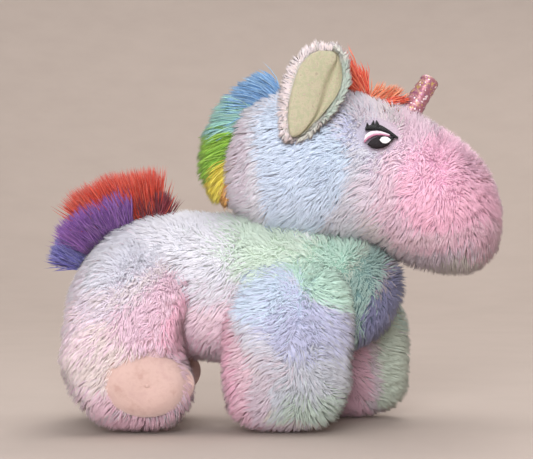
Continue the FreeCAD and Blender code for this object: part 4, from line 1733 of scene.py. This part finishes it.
def leaf(side, sign, low, high, pile):
    """One ear: padded leaf with dyed pile, and its folded lining."""
    corner = np.array([low[0], (low[1] + high[1]) / 2, low[2]])
    skin = ear_shell(f"ear_skin_{side}", corner, sign, 2.2, 2.6, 0.0, 2.5)
    skin.data.materials.append(backing_material())
    places = coordinates(skin.data)
    base, inside = (lifted(rgb(code)) for code in EAR_DYES_AND_SHADE)
    tie_dye(skin, np.tile(base, (len(places), 1)))
    lining = ear_shell(
        f"ear_lining_{side}", corner + np.array([0, sign * 2.4 * MM, 0]), sign, -0.3, 1.6, 3.6, 3.2
    )
    lining.data.materials.append(
        noisy_cloth(
            "crushed_velour_cream", ("9c947e", "b2a88e", "a0a282", "b49c90"), 2.4, 0.75, 0.1, 0.9
        )
    )
    draw = np.random.default_rng(40 + sign)
    roots, normals = scatter(skin.data, 8200, draw)
    x = (roots[:, 0] - corner[0]) / MM
    height = (roots[:, 2] - corner[2]) / MM
    rear, fold, front = ear_edges(height).T
    outer = normals[:, 1] * sign > 0.1
    keep = ~(outer & (x > rear + 0.2) & (x < front - 0.4) & (height < EAR_ROWS[-1, 0] - 1))
    flow = unit(np.stack([(x - 20) / 20, np.zeros(len(x)), (height - 18) / 26], 1)) * 0.9
    colours = np.tile(base, (len(roots), 1))
    # Past the fold on the outer face the pile turns grey-green: partly its own tint, partly painted
    # shade in the cup.
    green = np.clip((x - fold) / 6, 0, 1)[:, None] * outer[:, None] * 0.8
    colours = colours * (1 - green) + inside * green
    short = np.where(outer & (x > fold), 0.62, 0.8)
    pile_piece = grow_pile(
        f"ear_pile_{side}",
        roots[keep],
        normals[keep],
        flow[keep],
        colours[keep],
        (pile.length * short * draw.uniform(0.7, 1.15, len(roots)))[keep],
        pile,
        draw,
        pile_shades(),
        SHADES,
    )
    for piece in (skin, lining, pile_piece):
        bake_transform(piece)
    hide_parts(f"ear_back_panel_{side}")
    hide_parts(f"ear_lining_panel_{side}")


# How far the mane leans down at its roots, and how much more it bends along its length.
MANE_DROOP = 0.25
MANE_BEND = 0.9


class SewMane(bpy.types.Operator):
    """Rainbow mane down the back of the head"""

    bl_idname = "plush.mane"
    bl_label = "Mane"

    def execute(self, context):
        tuft = settings().tuft
        low, high = (np.array(c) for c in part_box("mane_strip"))
        draw = np.random.default_rng(21)
        for number, (colour, (codes, first, last, length)) in enumerate(MANE.items()):
            count = int(tuft.count * (last - first) / 22)
            roots, way, angle = fan(low[1], high[1], SKULL, (first, last), SKULL_REACH, count, draw)
            lengths = length * MM * draw.uniform(0.65, 1.1, count)
            down = np.stack([-np.sin(angle), np.zeros(count), np.cos(angle)], 1)
            way = way + down * MANE_DROOP
            bend = down * MANE_BEND
            name = f"mane_{colour}"
            piece = grow_tuft(name, roots, way, lengths, codes, tuft, 30 + number, bend)
            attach(piece, "head")
            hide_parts(f"mane_tuft_{colour}")
            if number == 0:
                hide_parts("mane_strip")
        return {"FINISHED"}


RED = ("e8604a", "ee7256", "d44c38", "f08a66")
TAN = ("e2a27e", "ec8f68", "e67a58", "dba98a")
# Forelock plumes: name, tones, share of the count, where the roots lie along the tuft in
# millimetres from its rear, how far below its top they sit, way out, bend, length.
PLUMES = (
    ("rear", RED, 0.50, (9, 17), 19, (-0.45, 1.0), (-0.35, 0.1), 37),
    ("rise", RED, 0.22, (11, 19), 19, (-0.15, 1.0), (-0.5, 0.0), 24),
    ("middle", TAN, 0.34, (17, 31), 21, (0.7, 0.8), (0.2, 0.1), 14),
    ("front", RED, 0.50, (25, 35), 23, (0.95, 0.35), (0.3, -0.1), 12),
    ("fringe", TAN, 0.20, (22, 34), 26, (0.7, 0.1), (0.3, -0.7), 11),
)
# Half the width of the forelock's roots, metres.
FORELOCK_HALF = 0.007


class SewForelock(bpy.types.Operator):
    """Red-orange forelock between the ears, laid forward to the horn"""

    bl_idname = "plush.forelock"
    bl_label = "Forelock"

    def execute(self, context):
        tuft = settings().tuft
        low, high = (np.array(c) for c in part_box("forelock_tuft"))
        draw = np.random.default_rng(77)
        made = []
        for number, (part, codes, share, span, drop, way, bend, length) in enumerate(PLUMES):
            count = int(tuft.count * share)
            x = low[0] + MM * draw.uniform(*span, count)
            y = draw.uniform(-FORELOCK_HALF, FORELOCK_HALF, count)
            roots = np.stack([x, y, np.full(count, high[2] - drop * MM)], 1)
            ways = np.stack([np.full(count, way[0]), y * 40, np.full(count, way[1])], 1)
            lengths = length * MM * draw.uniform(0.5, 1.1, count)
            made.append(
                grow_tuft(
                    f"forelock_{part}",
                    roots,
                    ways,
                    lengths,
                    codes,
                    tuft,
                    78 + number,
                    np.array([bend[0], 0, bend[1]]),
                )
            )
        for piece in made:
            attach(piece, "head")
        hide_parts("forelock_strip", "forelock_tuft")
        return {"FINISHED"}


# How far the tail's roots spread past the strip's sides, and how far back the red tuft sweeps.
TAIL_NARROW = 0.002
TAIL_WIDE = 0.006
RED_SWEEP = 0.22


class SewTail(bpy.types.Operator):
    """Fanned tail in red, purple, blue and maroon"""

    bl_idname = "plush.tail"
    bl_label = "Tail"

    def execute(self, context):
        tuft = settings().tuft
        low, high = (np.array(c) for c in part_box("tail_strip"))
        draw = np.random.default_rng(50)
        pivot = next(j["pos_m"] for j in frame["joints"] if j["name"] == "tail_flop")
        out = np.array([pivot[0] - RUMP[0], 0, pivot[2] - RUMP[1]])
        out /= np.linalg.norm(out)
        for number, (colour, (codes, first, last, length)) in enumerate(TAIL.items()):
            count = int(tuft.count * 1.3 * (last - first) / 24)
            wide = TAIL_WIDE if colour == "purple" else TAIL_NARROW
            roots, way, _ = fan(
                low[1] - wide, high[1] + wide, RUMP, (first, last), RUMP_REACH, count, draw
            )
            if colour == "red":
                way[:, 0] -= RED_SWEEP
            if colour == "purple":
                way[:, 1] *= 2
            lengths = length * MM * draw.uniform(0.6, 1.1, count)
            piece = grow_tuft(
                f"tail_{colour}", roots, way, lengths, codes, tuft, 60 + number, way * 0.0
            )
            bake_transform(piece)
            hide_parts(f"tail_tuft_{colour}")
            if number == 0:
                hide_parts("tail_strip")
        return {"FINISHED"}


class FinishSeams(bpy.types.Operator):
    """Thread finish on the closing stitches under the belly"""

    bl_idname = "plush.seams"
    bl_label = "Closing stitches"

    def execute(self, context):
        node = frame["nodes"]["closing_stitches"]
        node.data.materials.clear()
        node.data.materials.append(satin_thread("polyester_sewing_thread", "e8e2e4", 0.8))
        return {"FINISHED"}


OPERATORS = (
    SetStage,
    StuffForms,
    GrowHeadPile,
    GrowTrunkPile,
    GrowLegPile,
    MakeNeck,
    MakeFootPads,
    MakeHorn,
    MakeEyes,
    SewEars,
    SewMane,
    SewForelock,
    SewTail,
    FinishSeams,
)


class PlushPanel(bpy.types.Panel):
    """Lists the toy's operators and settings"""

    bl_idname = "VIEW3D_PT_plush"
    bl_label = "Plush Unicorn"
    bl_space_type = "VIEW_3D"
    bl_region_type = "UI"
    bl_category = "Plush"

    def draw(self, context):
        for operator in OPERATORS:
            self.layout.operator(operator.bl_idname)
        for group in ("pile", "padding", "tuft", "stage"):
            held = getattr(context.scene.plush, group)
            for name in held.__annotations__:
                self.layout.prop(held, name)


GROUPS = (PileSettings, PaddingSettings, TuftSettings, StageSettings, PlushSettings)


def register():
    for kind in (*GROUPS, *OPERATORS, PlushPanel):
        bpy.utils.register_class(kind)
    bpy.types.Scene.plush = bpy.props.PointerProperty(type=PlushSettings)


def unregister():
    del bpy.types.Scene.plush
    for kind in reversed((*GROUPS, *OPERATORS, PlushPanel)):
        bpy.utils.unregister_class(kind)


def main():
    register()
    for operator in OPERATORS:
        area, name = operator.bl_idname.split(".")
        getattr(getattr(bpy.ops, area), name)()
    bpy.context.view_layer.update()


if __name__ == "__main__":
    main()
